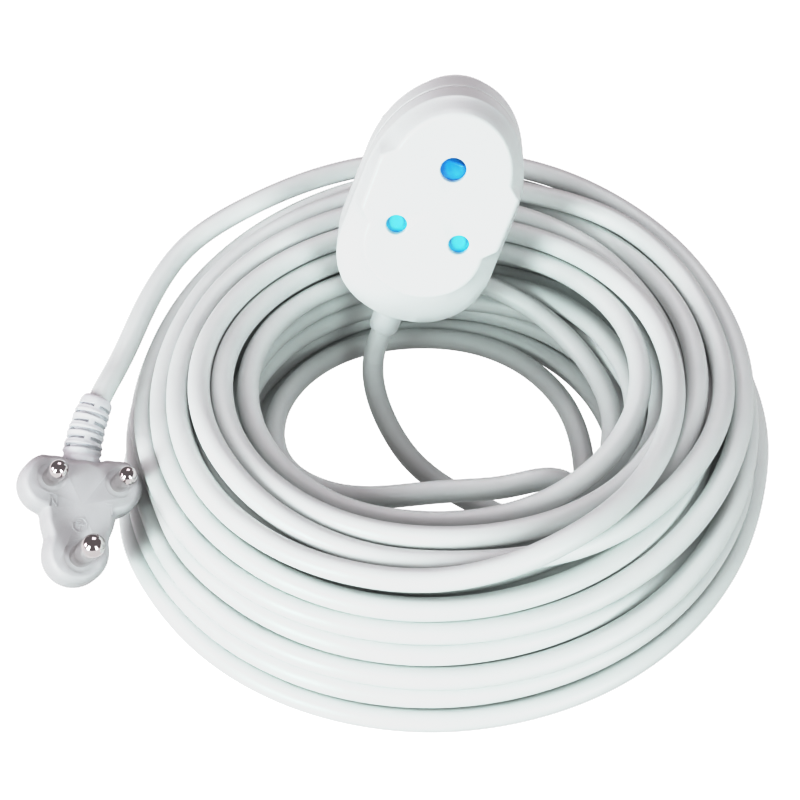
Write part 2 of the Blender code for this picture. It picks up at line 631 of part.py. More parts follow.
def build():
    root = Vector((0, 0, 0))
    # flex
    path = coil_path()
    lead = [TAIL_PIVOT] + path[1:]
    put("flex_cable_coil", [sweep(lead, CORD_R, CORD_SIDES, dome_start=True, dome_end=True)], IDENT, root, WHITE, 0.42)
    tail = catmull([TAIL_PIVOT, *PLUG_TAIL, BOOT_TIP], 5)
    first = (tail[1] - tail[0]).normalized()
    tail[0] = TAIL_PIVOT + first * (CORD_R + 0.6)
    put("flex_cable_plug_tail", [sweep(tail, CORD_R, 10, dome_end=True)], IDENT, TAIL_PIVOT, WHITE, 0.42)

    # plug
    stub = [Vector((-0.9, 8.6, -9.0))] + [boot_axis(0.88 * t / 6) for t in range(0, 7)]
    put("flex_cable_plug_stub", [sweep(stub, CORD_R, 12)], PLUG, BOOT_TIP, WHITE, 0.42)
    hollow = stub + [boot_axis(1.0), boot_axis(1.0) + Vector((0.6, 3.0, 0))]
    guard = [boot_axis(t / 12) for t in range(0, 13)]
    guard_r = [7.4 - 2.3 * (t / 12) for t in range(0, 13)]
    guard_r[0] = 8.0
    guard_r[-1] = guard_r[-2] = 5.5
    slots = []
    for k in range(7):
        c = boot_axis(0.34 + 0.088 * k)
        w = 0.62
        if k % 2 == 0:
            slots.append(block(c.x - 9, c.x - 5.15, c.y - w, c.y + w, -20, 2))
            slots.append(block(c.x + 5.15, c.x + 9, c.y - w, c.y + w, -20, 2))
        else:
            slots.append(block(c.x - 9, c.x + 9, c.y - w, c.y + w, -9.0 + 5.1, 2))
            slots.append(block(c.x - 9, c.x + 9, c.y - w, c.y + w, -20, -9.0 - 5.1))
    root_cut = block(-30, 30, 0, 18.6 + GAP, -30, 10)
    put("plug_cord_guard", [sweep(guard, guard_r, 16)], PLUG, BOOT_TIP, WHITE, 0.5,
        cuts=[sweep(hollow, CORD_R + GAP, 12), root_cut] + slots)
    cable_room = sweep([Vector((-0.9, 5.2, -9.0)), Vector((-0.9, 25.0, -9.0))], CORD_R + GAP, 16)
    pin_room = [rod((EARTH_PIN_R if k == "earth" else LINE_PIN_R) + GAP, CARRIER_Z1 - 1, 3, 20, *p) for k, p in PLUG_PINS.items()]
    put("plug_body", [plug_solid()], PLUG, BOOT_TIP, WHITE, 0.4, cuts=[plug_pocket(GAP), cable_room] + pin_room)
    carrier_cuts = [rod((EARTH_PIN_R if k == "earth" else LINE_PIN_R) + GAP, -9.4, 0, 20, *p) for k, p in PLUG_PINS.items()]
    carrier_cuts.append(block(-15.4, 15.4, 3.7, 10.7, -13.5, -9.3))
    carrier_cuts.append(block(-2.3, 2.3, -21.6, 9.5, -13.6, -9.2))
    put("plug_pin_carrier", [plug_pocket(0.0)], PLUG, BOOT_TIP, (0.10, 0.10, 0.11), 0.5, cuts=carrier_cuts + [
        sweep([Vector((-0.9, 5.2, -9.0)), Vector((-0.9, 25.0, -9.0))], CORD_R + GAP, 16)])
    for k in ("earth", "live", "neutral"):
        r, ln = (EARTH_PIN_R, EARTH_PIN_L) if k == "earth" else (LINE_PIN_R, LINE_PIN_L)
        put(k + "_pin", [pin(r, ln, -9.1, 20, PLUG_PINS[k])], PLUG, BOOT_TIP, STEEL, 0.12, 1.0)
    zc = -11.0
    for k, pts, col in (("neutral", ((-3.4, 7.2, zc), (-5.5, 6.4, zc), (-9.0, 6.4, zc), (-12.7, 8.2, zc)), (0.05, 0.20, 0.60)),
                        ("live", ((2.0, 7.2, zc), (4.5, 6.4, zc), (9.0, 6.4, zc), (12.7, 8.2, zc)), (0.32, 0.14, 0.05)),
                        ("earth", ((-0.9, 7.6, zc), (-0.3, 4.0, zc), (0.0, -8.0, zc), (0.0, -19.0, zc)), (0.25, 0.60, 0.10))):
        put("plug_%s_core" % k, [sweep(catmull(pts, 3), 1.2, 8)], PLUG, BOOT_TIP, col, 0.4)

    # coupler
    a, c = front_shell()
    put("coupler_front_shell", a, COUPLER, COLLAR_PIVOT, WHITE, 0.38, cuts=c)
    a, c = rear_shell()
    put("coupler_rear_shell", a, COUPLER, COLLAR_PIVOT, WHITE, 0.38, cuts=c)
    a, c = shutter()
    mid = Vector((0, -9.5, HUB - 4.0))
    put("front_shutter", a, COUPLER, COUPLER @ mid, BLUE, 0.25, cuts=c)
    put("rear_shutter", [moved(s, REAR) for s in a], COUPLER, COUPLER @ (REAR @ mid), BLUE, 0.25,
        cuts=[moved(s, REAR) for s in c])
    put("front_shutter_spring", [spring()], COUPLER, COLLAR_PIVOT, STEEL, 0.3, 1.0)
    put("rear_shutter_spring", [moved(spring(), REAR)], COUPLER, COLLAR_PIVOT, STEEL, 0.3, 1.0)
    put("live_contact", line_contact(-1), COUPLER, COLLAR_PIVOT, BRASS, 0.3, 1.0)
    put("neutral_contact", line_contact(1), COUPLER, COLLAR_PIVOT, BRASS, 0.3, 1.0)
    put("earth_contact", earth_contact(), COUPLER, COLLAR_PIVOT, BRASS, 0.3, 1.0)
    stub_end = -41.0
    put("flex_cable_coupler_stub", [turn_y(rod(CORD_R, COLLAR_PIVOT_Y + CORD_R + 0.6, stub_end, 16))], COUPLER, COLLAR_PIVOT, WHITE, 0.42)
    low = -HALF - 4.5
    core_y = 2 * MID_Y - HALF - 5.4 - GAP
    put("coupler_live_core", [sweep(catmull(((-3.0, stub_end + GAP + 1.0, 0), (-8.5, -34.5, 0), (-12.7, -27.0, 0), (-12.7, low - GAP, 0)), 3), 1.3, 8)],
        COUPLER, COLLAR_PIVOT, (0.32, 0.14, 0.05), 0.4)
    put("coupler_neutral_core", [sweep(catmull(((3.0, stub_end + GAP + 1.0, 0), (8.5, -34.5, 0), (12.7, -27.0, 0), (12.7, low - GAP, 0)), 3), 1.3, 8)],
        COUPLER, COLLAR_PIVOT, (0.05, 0.20, 0.60), 0.4)
    put("coupler_earth_core", [sweep([(0, stub_end + GAP, 0), (0, core_y, 0)], 1.3, 8)], COUPLER, COLLAR_PIVOT, (0.25, 0.60, 0.10), 0.4)
    collar = loft([circle(r, z, 20) for r, z in ((5.0, -69.4), (5.5, -68.6), (6.0, -62.5), (COLLAR_R, -59.0), (COLLAR_R, -54.6),
                                                 (CORD_R + GAP, -54.6), (CORD_R + GAP, -69.4))], cap=False)
    put("coupler_cord_collar", [turn_y(collar)], COUPLER, COLLAR_PIVOT, WHITE, 0.42)
    bar = block(-12.6, 12.6, CLAMP_Y - 3.2, CLAMP_Y + 3.2, 4.2, 7.4)
    put("cord_clamp", [bar], COUPLER, COLLAR_PIVOT, WHITE, 0.45, cuts=[
        turn_y(rod(CORD_R + GAP, CLAMP_Y - 6, CLAMP_Y + 6, 20))] + [rod(1.8, 0, 9, 12, sx * CLAMP_X, CLAMP_Y) for sx in (-1, 1)])
    for sx, side in ((-1, "left"), (1, "right")):
        s = pan_screw(7.4 + GAP + 1.9, -6.5, 2.9, 1.5, 1)
        m = Matrix.Translation((sx * CLAMP_X, CLAMP_Y, 0))
        put("cord_clamp_screw_" + side, [moved(s, m)], COUPLER, COLLAR_PIVOT, STEEL, 0.3, 1.0,
            cuts=[moved(q, m) for q in cross_cut(7.4 + GAP + 1.9, 1)])
    for k, (x, y) in enumerate(BOSSES, 1):
        zh = -HUB + 10.0 - GAP - 1.9
        s = pan_screw(zh, 8.8, 2.95, 1.45, -1)
        m = Matrix.Translation((x, y, 0))
        put("shell_screw_%d" % k, [moved(s, m)], COUPLER, COLLAR_PIVOT, STEEL, 0.3, 1.0,
            cuts=[moved(q, m) for q in cross_cut(zh, -1)])


build()
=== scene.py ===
import math

import bmesh
import bpy
import numpy as np
from mathutils import Matrix, Vector


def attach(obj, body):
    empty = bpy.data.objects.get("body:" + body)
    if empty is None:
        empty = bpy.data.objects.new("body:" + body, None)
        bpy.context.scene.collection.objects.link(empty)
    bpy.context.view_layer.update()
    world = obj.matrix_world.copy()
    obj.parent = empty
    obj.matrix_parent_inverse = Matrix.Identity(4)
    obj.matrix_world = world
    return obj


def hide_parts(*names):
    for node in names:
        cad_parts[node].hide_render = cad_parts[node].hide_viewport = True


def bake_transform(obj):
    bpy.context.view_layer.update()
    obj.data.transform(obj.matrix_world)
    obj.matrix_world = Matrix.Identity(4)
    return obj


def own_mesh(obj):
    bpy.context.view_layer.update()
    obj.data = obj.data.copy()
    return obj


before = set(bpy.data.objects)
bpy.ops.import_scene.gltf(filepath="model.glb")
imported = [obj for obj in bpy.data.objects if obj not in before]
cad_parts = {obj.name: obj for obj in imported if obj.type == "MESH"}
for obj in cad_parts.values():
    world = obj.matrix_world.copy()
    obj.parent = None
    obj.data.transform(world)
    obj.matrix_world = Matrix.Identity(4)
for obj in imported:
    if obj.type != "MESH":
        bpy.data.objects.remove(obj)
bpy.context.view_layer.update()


MM = 0.001
# ---- driving dimensions, millimetres ----
CORD_R = 4.3              # flex radius
CORD_SIDES = 6
COIL_PLANES = 24          # stations per turn
COIL_SCALE = 1.036
GAP = 0.3                 # assembly gap between neighbouring pieces
PIN_SPACING = 25.4        # live to neutral
PIN_LINE = 28.58          # earth to the live/neutral line
EARTH_PIN_R, EARTH_PIN_L = 4.35, 28.58
LINE_PIN_R, LINE_PIN_L = 3.53, 18.6
HUB = 20.5                # half depth of the coupler
WALL = 2.2
SEAM = 0.15               # half of the gap between the two shells
HOLE_E_R, HOLE_L_R = 4.9, 4.0
SHUTTER_TRAVEL = 9.5
PLUG_T = 18.0             # thickness of the plug body

# the row's origin is the middle of the underside; the coil is wound about this point
COIL_CENTRE = (13.1198, -0.8313, 0.0)

# ---- placements in the coil's own frame: columns are the local x, y, z directions ----
COUPLER_AXES = ((0.9296, 0.3662, -0.0411), (-0.1407, 0.2495, -0.9581), (-0.3406, 0.8965, 0.2834))
COUPLER_FACE = (5.6, 46.0, 102.0)
PLUG_AXES = ((0.9356, 0.0645, 0.3470), (0.1140, 0.8752, -0.4701), (-0.3340, 0.4794, 0.8115))
PLUG_FACE = (-132.2, -42.8, 38.9)
COLLAR_PIVOT_Y = -71.2
BOOT_PIVOT = (5.04, 45.0, -9.0)


def frame_of(axes, origin):
    x = Vector((axes[0][0], axes[1][0], axes[2][0])).normalized()
    z = Vector((axes[0][2], axes[1][2], axes[2][2]))
    z = (z - x * z.dot(x)).normalized()
    y = z.cross(x)
    m = Matrix((x, y, z)).transposed().to_4x4()
    m.translation = Vector(origin)
    return m


COUPLER = frame_of(COUPLER_AXES, COUPLER_FACE) @ Matrix.Translation((0, 0, -HUB))
PLUG = frame_of(PLUG_AXES, PLUG_FACE)
COLLAR_PIVOT = COUPLER @ Vector((0, COLLAR_PIVOT_Y, 0))
BOOT_TIP = PLUG @ Vector(BOOT_PIVOT)
TAIL_PIVOT = Vector((-96.0, 80.5, 57.0))



# ---- mesh helpers (all local millimetres) ----
def tri_count(me):
    return sum(len(p.vertices) - 2 for p in me.polygons)


class Solid:
    def __init__(self):
        self.v, self.f = [], []

    def ring(self, pts):
        k = len(self.v)
        self.v.extend(Vector(p) for p in pts)
        return list(range(k, k + len(pts)))

    def bridge(self, a, b):
        n = len(a)
        for i in range(n):
            j = (i + 1) % n
            self.f.append((a[i], a[j], b[j], b[i]))

    def fan(self, r, centre):
        k = len(self.v)
        self.v.append(Vector(centre))
        n = len(r)
        for i in range(n):
            self.f.append((r[i], r[(i + 1) % n], k))


def centre_of(pts):
    c = Vector((0, 0, 0))
    for p in pts:
        c += Vector(p)
    return c / len(pts)


def loft(rings, cap=True, tips=(None, None)):
    s = Solid()
    ids = [s.ring(r) for r in rings]
    for a, b in zip(ids, ids[1:]):
        s.bridge(a, b)
    if cap:
        s.fan(ids[0], tips[0] if tips[0] is not None else centre_of(rings[0]))
        s.fan(ids[-1], tips[1] if tips[1] is not None else centre_of(rings[-1]))
    else:
        s.bridge(ids[-1], ids[0])
    return s


def circle(r, z, n, cx=0.0, cy=0.0):
    return [(cx + r * math.cos(2 * math.pi * i / n), cy + r * math.sin(2 * math.pi * i / n), z) for i in range(n)]


def rod(r, z0, z1, n=16, cx=0.0, cy=0.0):
    return loft([circle(r, z0, n, cx, cy), circle(r, z1, n, cx, cy)])


def tube(ro, ri, z0, z1, n=16, cx=0.0, cy=0.0):
    return loft([circle(ro, z0, n, cx, cy), circle(ro, z1, n, cx, cy),
                 circle(ri, z1, n, cx, cy), circle(ri, z0, n, cx, cy)], cap=False)


def block(x0, x1, y0, y1, z0, z1):
    return loft([[(x0, y0, z0), (x1, y0, z0), (x1, y1, z0), (x0, y1, z0)],
                 [(x0, y0, z1), (x1, y0, z1), (x1, y1, z1), (x0, y1, z1)]])


def turn_y(s):
    """Lay a solid made along z so that it runs along y."""
    for i, p in enumerate(s.v):
        s.v[i] = Vector((p.x, p.z, -p.y))
    return s


def sweep(path, radius, sides, dome_start=False, dome_end=False, extra=0):
    pts = [Vector(p) for p in path]
    n = len(pts)
    tang = []
    for i in range(n):
        a, b = pts[max(i - 1, 0)], pts[min(i + 1, n - 1)]
        tang.append((b - a).normalized())
    up = Vector((0, 0, 1))
    if abs(tang[0].dot(up)) > 0.95:
        up = Vector((1, 0, 0))
    u = (up - tang[0] * up.dot(tang[0])).normalized()
    rings = []
    for i in range(n):
        u = (u - tang[i] * u.dot(tang[i])).normalized()
        w = tang[i].cross(u)
        r = radius[i] if isinstance(radius, list) else radius
        rings.append([pts[i] + (u * math.cos(2 * math.pi * k / sides) + w * math.sin(2 * math.pi * k / sides)) * r
                      for k in range(sides)])
        if i == 0 and dome_start:
            pre = []
            for a in (70, 40):
                c, s_ = math.cos(math.radians(a)), math.sin(math.radians(a))
                pre.append([pts[0] - tang[0] * (r * s_) + (p - pts[0]) * c for p in rings[0]])
            rings = pre + rings
        if i == n - 1 and dome_end:
            base = rings[-1]
            for a in (40, 70):
                c, s_ = math.cos(math.radians(a)), math.sin(math.radians(a))
                rings.append([pts[-1] + tang[-1] * (r * s_) + (p - pts[-1]) * c for p in base])
    r0 = radius[0] if isinstance(radius, list) else radius
    t0 = pts[0] - tang[0] * r0 if dome_start else None
    t1 = pts[-1] + tang[-1] * r0 if dome_end else None
    return loft(rings, tips=(t0, t1))



# ---- the coil ----
# One row per turn in winding order: (radius, height) where the turn passes front, left, back and right.
TURNS = (
    (None, (119.0, 53.0), (117.0, 60.0), (115.0, 47.0)),
    ((101.0, 34.5), (109.5, 38.0), (108.0, 58.5), (117.0, 38.0)),
    ((109.4, 20.0), (114.5, 21.5), (117.0, 41.5), (118.0, 21.5)),
    ((106.3, 28.0), (114.7, 30.0), (116.8, 50.5), (118.0, 13.0)),
    ((117.3, 4.2), (117.0, 4.2), (116.5, 4.2), (118.0, 30.0)),
    ((112.6, 12.0), (113.5, 12.5), (117.0, 33.0), (117.0, 4.2)),
    ((108.8, 4.2), (108.6, 4.2), (107.6, 4.2), (108.6, 4.2)),
    ((100.4, 4.2), (100.2, 4.2), (99.2, 4.2), (100.2, 4.2)),
    ((92.0, 4.2), (91.8, 4.2), (91.0, 4.2), (91.8, 4.2)),
    ((83.6, 4.2), (83.4, 4.2), (83.4, 4.2), (83.4, 4.2)),
    ((79.5, 11.5), (79.2, 11.5), (79.0, 11.5), (79.2, 11.5)),
    ((88.0, 11.5), (87.6, 11.5), (95.0, 11.5), (87.6, 11.5)),
    ((96.3, 11.5), (96.0, 11.5), (103.4, 11.5), (96.0, 11.5)),
    ((104.6, 11.5), (104.8, 12.0), (112.0, 11.5), (108.8, 12.0)),
    ((100.7, 19.0), (105.8, 20.0), (116.8, 19.0), (109.6, 20.0)),
    ((92.4, 19.0), (97.0, 19.0), (107.6, 19.0), (100.4, 19.0)),
    ((84.0, 19.0), (88.4, 19.0), (99.2, 19.0), (92.0, 19.0)),
    ((75.7, 19.0), (80.0, 19.0), (87.5, 14.0), (83.6, 19.0)),
    ((79.0, 26.5), (75.5, 26.5), (76.0, 17.0), (79.0, 26.5)),
    ((87.5, 26.5), (84.0, 26.5), (91.0, 22.0), (87.6, 26.5)),
    ((96.0, 26.5), (98.0, 27.5), (112.5, 27.0), (98.0, 27.5)),
    ((91.5, 34.0), (101.0, 35.0), (104.0, 27.0), (107.0, 30.0)),
    ((83.0, 34.0), (91.6, 35.0), (95.5, 31.0), (93.0, 35.0)),
    ((74.5, 34.0), (74.0, 35.0), (77.5, 25.5), (76.0, 35.0)),
    ((69.0, 42.0), (83.0, 40.0), (108.0, 36.0), (84.5, 37.0)),
    ((79.0, 45.0), (93.0, 43.0), (108.0, 46.0), (97.5, 53.0)),
    ((88.5, 42.0), (85.0, 47.0), (99.0, 41.0), (101.0, 43.0)),
    ((99.0, 42.0), (101.5, 46.0), (100.0, 58.5), (108.8, 47.0)),
    ((85.0, 51.5), (87.0, 54.5), (87.5, 50.0), (87.5, 55.0)),
    ((93.4, 49.0), (94.4, 51.5), (93.0, 56.5), (92.0, 47.0)),
    ((77.0, 56.0), (78.3, 55.5), (83.5, 42.0), (77.5, 54.0)),
    ((65.0, 44.0), (68.8, 49.5), (80.0, 34.0), (70.5, 17.0)),
    ((40.5, 44.0), (63.0, 20.0), (71.5, 4.2), (54.6, 4.2)),
    ((71.5, 4.2), (75.0, 4.2), (77.0, 4.2), (71.0, 4.2)),
)
# between right and front of the third turn from the end the flex rises in a tight bend: station -> (radius, height)
RISE = {757: (70.0, 15.0), 758: (68.0, 20.0), 759: (57.5, 43.0), 760: (47.0, 44.0), 761: (42.0, 44.0)}
BEND = ((66.5, -32.5, 15.0), (59.3, -40.3, 19.5), (54.0, -42.0, 27.5), (51.0, -42.0, 37.0), (43.5, -41.3, 43.2))
BEND_AT = (758, 759)      # stations that the bend's own points stand in for
FIRST_ANGLE = 141.0       # where the plug's tail leaves the coil
LAST_PAST_RIGHT = 1       # stations past the right side where the coupler's tail leaves
COUPLER_TAIL = ((59.5, -41.0, 8.0), (48.5, -45.5, 14.2), (34.0, -40.0, 12.0), (24.0, -31.0, 7.5),
                (15.7, -22.5, 4.7), (4.0, -13.5, 4.5), (-9.5, 1.5, 4.7), (-17.5, 16.5, 7.5), (-23.0, 30.0, 13.5))
PLUG_TAIL = ((-110.8, 53.0, 54.5), (-117.0, 34.5, 52.0), (-121.9, 20.0, 49.6))


def catmull(points, steps):
    p = [Vector(q) for q in points]
    p = [p[0] * 2 - p[1]] + p + [p[-1] * 2 - p[-2]]
    out = []
    for i in range(1, len(p) - 2):
        for k in range(steps):
            t = k / steps
            out.append(0.5 * ((2 * p[i]) + (p[i + 1] - p[i - 1]) * t
                              + (2 * p[i - 1] - 5 * p[i] + 4 * p[i + 1] - p[i + 2]) * t * t
                              + (3 * p[i] - p[i - 1] - 3 * p[i + 1] + p[i + 2]) * t ** 3))
    out.append(p[-2])
    return out


def obstacles():
    """Capsules the turns must clear: (end, end, radius)."""
    caps = []
    for (x, y, z0, z1, r) in ((12.2, 8.4, -12.0, -5.0, 11.6), (12.7, 9.5, 0.0, 16.0, 4.4),
                              (0.0, -17.4, -12.0, -6.0, 12.6), (0.0, 0.0, -12.0, -6.0, 13.0)):
        caps.append((PLUG @ Vector((x, y, z0)), PLUG @ Vector((x, y, z1)), r))
    caps.append((PLUG @ Vector((-1, 16, -9)), PLUG @ Vector((0.5, 42, -9)), 8.0))
    run = [TAIL_PIVOT] + [Vector(q) for q in PLUG_TAIL] + [BOOT_TIP]
    caps += [(a, b, CORD_R) for a, b in zip(run, run[1:])]
    run = [Vector(q) for q in COUPLER_TAIL[1:]] + [COLLAR_PIVOT]
    caps += [(a, b, CORD_R) for a, b in zip(run, run[1:])]
    run = [Vector(q) for q in BEND]
    caps += [(a, b, CORD_R) for a, b in zip(run, run[1:])]
    for x in (-22, 0, 22):
        caps.append((COUPLER @ Vector((x, -34, -10)), COUPLER @ Vector((x, 22, -10)), 10.5))
    return caps


def coil_stations():
    """Relax the turns so that no two touch: every turn is a particle at every station."""
    K = COIL_PLANES
    q = K // 4
    am, av = [], []
    for j, (fr, le, ba, ri) in enumerate(TURNS):
        base = (j - 1) * K + 3 * q
        for off, s in ((0, fr), (q, le), (2 * q, ba), (3 * q, ri)):
            if s is not None:
                am.append(base + off)
                av.append((s[0] * COIL_SCALE, s[1] * COIL_SCALE))
    for k, s in RISE.items():
        am.append(k)
        av.append((s[0] * COIL_SCALE, s[1] * COIL_SCALE))
    order = np.argsort(am)
    am = np.array(am)[order]
    av = np.array(av, float)[order]
    m0 = int(round((180.0 - FIRST_ANGLE) * K / 360.0))
    m = np.arange(m0, am[-1] + LAST_PAST_RIGHT + 1)
    T = np.zeros((len(m), 2))
    W = np.zeros(len(m))
    for i, mm in enumerate(m):
        k = int(np.searchsorted(am, mm, side="right")) - 1
        k0, k1 = max(k, 0), min(max(k, 0) + 1, len(av) - 1)
        span = am[k1] - am[k0]
        t = 0.0 if span <= 0 else (mm - am[k0]) / span
        t = t * t * (3 - 2 * t)
        T[i] = av[k0] + (av[k1] - av[k0]) * t
        W[i] = 0.25 + 0.75 * math.exp(-(np.min(np.abs(am - mm)) / 1.8) ** 2)
    P = T + np.random.RandomState(7).uniform(-0.4, 0.4, T.shape)
    plane = m % K
    n = int(np.bincount(plane).max())
    idx = -np.ones((K, n), int)
    fill = np.zeros(K, int)
    for i, p in enumerate(plane):
        idx[p, fill[p]] = i
        fill[p] += 1
    mask = idx >= 0
    node = np.where(mask, idx, 0)
    pair = mask[:, :, None] & mask[:, None, :] & ~np.eye(n, dtype=bool)[None]
    # a half station: the middle of the stretch from each station to the next
    hmask = mask & (np.where(mask, idx, 0) < len(m) - 1)
    hpair = hmask[:, :, None] & hmask[:, None, :] & ~np.eye(n, dtype=bool)[None]
    nxt = np.where(hmask, idx + 1, 0)
    D = 2 * CORD_R * 1.02
    ang = np.radians(180.0 - 360.0 / K * m)
    er = np.stack([np.cos(ang), np.sin(ang)], 1)
    caps = [(np.array(a), np.array(b) - np.array(a), r) for a, b, r in obstacles()]
    own = (m >= BEND_AT[0] - 2) & (m <= BEND_AT[1] + 2)
    iters = 1400
    for it in range(iters):
        f = it / iters
        P += 0.10 * (1 - f) ** 1.5 * W[:, None] * (T - P)
        lap = np.zeros_like(P)
        lap[1:-1] = 0.5 * (P[:-2] + P[2:]) - P[1:-1]
        lap2 = np.zeros_like(P)
        lap2[1:-1] = 0.5 * (lap[:-2] + lap[2:]) - lap[1:-1]
        if f < 0.85:
            P += (0.15 if f < 0.6 else 0.05) * lap - (0.25 if f < 0.6 else 0.12) * lap2
        for half in (False, True):
            pr = hpair if half else pair
            Q = 0.5 * (P[node] + P[nxt]) if half else P[node]
            d = Q[:, :, None, :] - Q[:, None, :, :]
            r = np.sqrt((d ** 2).sum(-1)) + 1e-9
            over = np.where(pr & (r < D), D - r, 0.0)
            mv = (d / r[..., None] * (0.45 * over)[..., None]).sum(2)
            ln = np.sqrt((mv ** 2).sum(-1, keepdims=True)) + 1e-9
            mv = mv * np.minimum(1.0, 2.0 / ln)
            if half:
                np.add.at(P, node[hmask], mv[hmask])
                np.add.at(P, nxt[hmask], mv[hmask])
            else:
                np.add.at(P, node[mask], mv[mask])
        if f > 0.1:
            X = np.stack([P[:, 0] * er[:, 0], P[:, 0] * er[:, 1], P[:, 1]], 1)
            for c, (a, ab, r) in enumerate(caps):
                t = np.clip((X - a) @ ab / (ab @ ab), 0, 1)
                d = X - a - t[:, None] * ab
                ln = np.sqrt((d ** 2).sum(1)) + 1e-9
                amt = np.clip(r + CORD_R + 0.7 - ln, 0, 2.0)
                amt[:3] = 0
                if c > len(caps) - len(BEND):
                    amt[own] = 0
                amt[-3:] = 0
                P[:, 0] += 0.5 * amt * (d[:, 0] * er[:, 0] + d[:, 1] * er[:, 1]) / ln
                P[:, 1] += 0.5 * amt * d[:, 2] / ln
        P[:, 1] = np.maximum(P[:, 1], CORD_R)
    st = [Vector((P[i, 0] * math.cos(ang[i]), P[i, 0] * math.sin(ang[i]), P[i, 1])) for i in range(len(m))]
    i, j = BEND_AT[0] - m0, BEND_AT[1] - m0
    return st[:i] + [Vector(q) for q in BEND] + st[j + 1:]


def coil_path():
    st = coil_stations()
    y_dir = (COUPLER.to_3x3() @ Vector((0, 1, 0))).normalized()
    tail = catmull([st[-2], st[-1], *COUPLER_TAIL, COLLAR_PIVOT - y_dir * 12.5, COLLAR_PIVOT], 4)[4:]
    return st[:-1] + tail



# ---- coupler outlines ----
def coupler_outline(z, inset, sides, kind):
    """kind 0: widest outline; kind 1: face plateau with the grip flats."""
    out = []
    for i in range(sides):
        a = 2 * math.pi * (i + 0.5) / sides
        c, s = math.cos(a), math.sin(a)
        lo, hi = 0.0, 90.0
        for _ in range(40):
            mid = 0.5 * (lo + hi)
            x, y = mid * c, -8.0 + mid * s
            if inside_outline(x, y, inset, kind):
                lo = mid
            else:
                hi = mid
        out.append((lo * c, -8.0 + lo * s, z))
    return out


def inside_outline(x, y, inset, kind):
    x = abs(x)
    if kind == 0:
        if y > 0:
            return (x / (31.2 - inset)) ** 2 + (y / (41.0 - inset)) ** 2 < 1
        if y < -27:
            return (x / (31.7 - inset)) ** 2.2 + ((-27 - y) / (31.5 - inset)) ** 2.2 < 1
        return x < 31.2 + 0.5 * (-y / 27.0) - inset
    if y > 10:
        core = (x / (23.2 - inset)) ** 2 + ((y - 10) / (27.0 - inset)) ** 2 < 1
    elif y < -20:
        core = (x / (23.3 - inset)) ** 2 + ((-20 - y) / (21.7 - inset)) ** 2 < 1
    else:
        core = x < 23.25 - inset
    grip = x < 27.6 - inset and -11.5 + inset < y < 10.5 - inset
    return core or grip



HALF = PIN_LINE / 2
PINS = {"earth": (0.0, HALF), "live": (-PIN_SPACING / 2, -HALF), "neutral": (PIN_SPACING / 2, -HALF)}
MID_Y = -8.7              # the rear socket is the front one turned about this line
REAR = Matrix.Translation((0, 2 * MID_Y, 0)) @ Matrix.Rotation(math.pi, 4, "X")
BOSSES = ((22.0, 14.0), (-22.0, 14.0), (22.8, -31.5), (-22.8, -31.5))
CLAMP_Y, CLAMP_X = -46.5, 9.2


def moved(s, m):
    t = Solid()
    t.v = [m @ p for p in s.v]
    t.f = list(s.f)
    return t



# ---- plug outlines ----
LOBES = ((-12.2, 8.4, 10.8), (12.2, 8.4, 10.8), (0.0, -17.4, 12.0), (0.0, -4.0, 13.4), (0.0, 7.5, 10.5))


def plug_outline(z, inset, sides, shift=-0.8):
    out = []
    for i in range(sides):
        a = 2 * math.pi * (i + 0.5) / sides
        c, s = math.cos(a), math.sin(a)
        lo, hi = 0.0, 60.0
        for _ in range(36):
            mid = 0.5 * (lo + hi)
            x, y = mid * c, mid * s
            d = 0.0
            for cx, cy, r in LOBES:
                d += math.exp(-(math.hypot(x - cx, y - cy) - (r - inset)) / 1.1)
            top = y < 18.6 - inset
            if d > 1.0 and (top or y <= 0):
                lo = mid
            else:
                hi = mid
        out.append((lo * c + shift, lo * s, z))
    return out


PLUG_PINS = {"neutral": (-12.7, 9.53), "live": (12.7, 9.53), "earth": (0.0, -19.05)}
CARRIER_Z0, CARRIER_Z1 = -12.5, -4.0



def boot_axis(t):
    """Centre line of the cord guard in the plug's frame, t from 0 at its root to 1 at its tip."""
    x = -0.9 + 0.2 * t + 5.0 * t * t
    y = 16.0 + 27.2 * t
    return Vector((x, y, -9.0))




SHIFT = Vector(COIL_CENTRE)
AMBIENT = 0.33
# softboxes: name, azimuth from the front, elevation, side in metres, watts
LIGHTS = (("softbox_left", -45.0, 10.0, 0.42, 9.6), ("softbox_right", 32.0, 10.0, 0.42, 5.8), ("high_left", -40.0, 27.0, 0.42, 4.2),
          ("high_right", 30.0, 27.0, 0.42, 2.7), ("side_left", -80.0, 18.0, 0.5, 4.2), ("top_back", 172.0, 58.0, 0.7, 3.5))
# tone response of the camera: linear value in, linear value out
TONE = ((0.0, 0.0), (0.12, 0.085), (0.3, 0.27), (0.5, 0.52), (0.7, 0.72), (0.85, 0.80), (1.0, 0.845), (1.2, 0.865), (1.6, 1.0))


# ================= materials =================
def new_material(name):
    m = bpy.data.materials.new(name)
    m.use_nodes = True
    nt = m.node_tree
    return m, nt, nt.nodes["Principled BSDF"]


def object_coords(nt, scale):
    tc = nt.nodes.new("ShaderNodeTexCoord")
    mp = nt.nodes.new("ShaderNodeMapping")
    mp.inputs["Scale"].default_value = (scale, scale, scale)
    nt.links.new(tc.outputs["Object"], mp.inputs["Vector"])
    return mp.outputs["Vector"]


def noise(nt, vec, scale, detail=4.0, rough=0.55):
    n = nt.nodes.new("ShaderNodeTexNoise")
    n.inputs["Scale"].default_value = scale
    n.inputs["Detail"].default_value = detail
    n.inputs["Roughness"].default_value = rough
    nt.links.new(vec, n.inputs["Vector"])
    return n.outputs["Fac"]


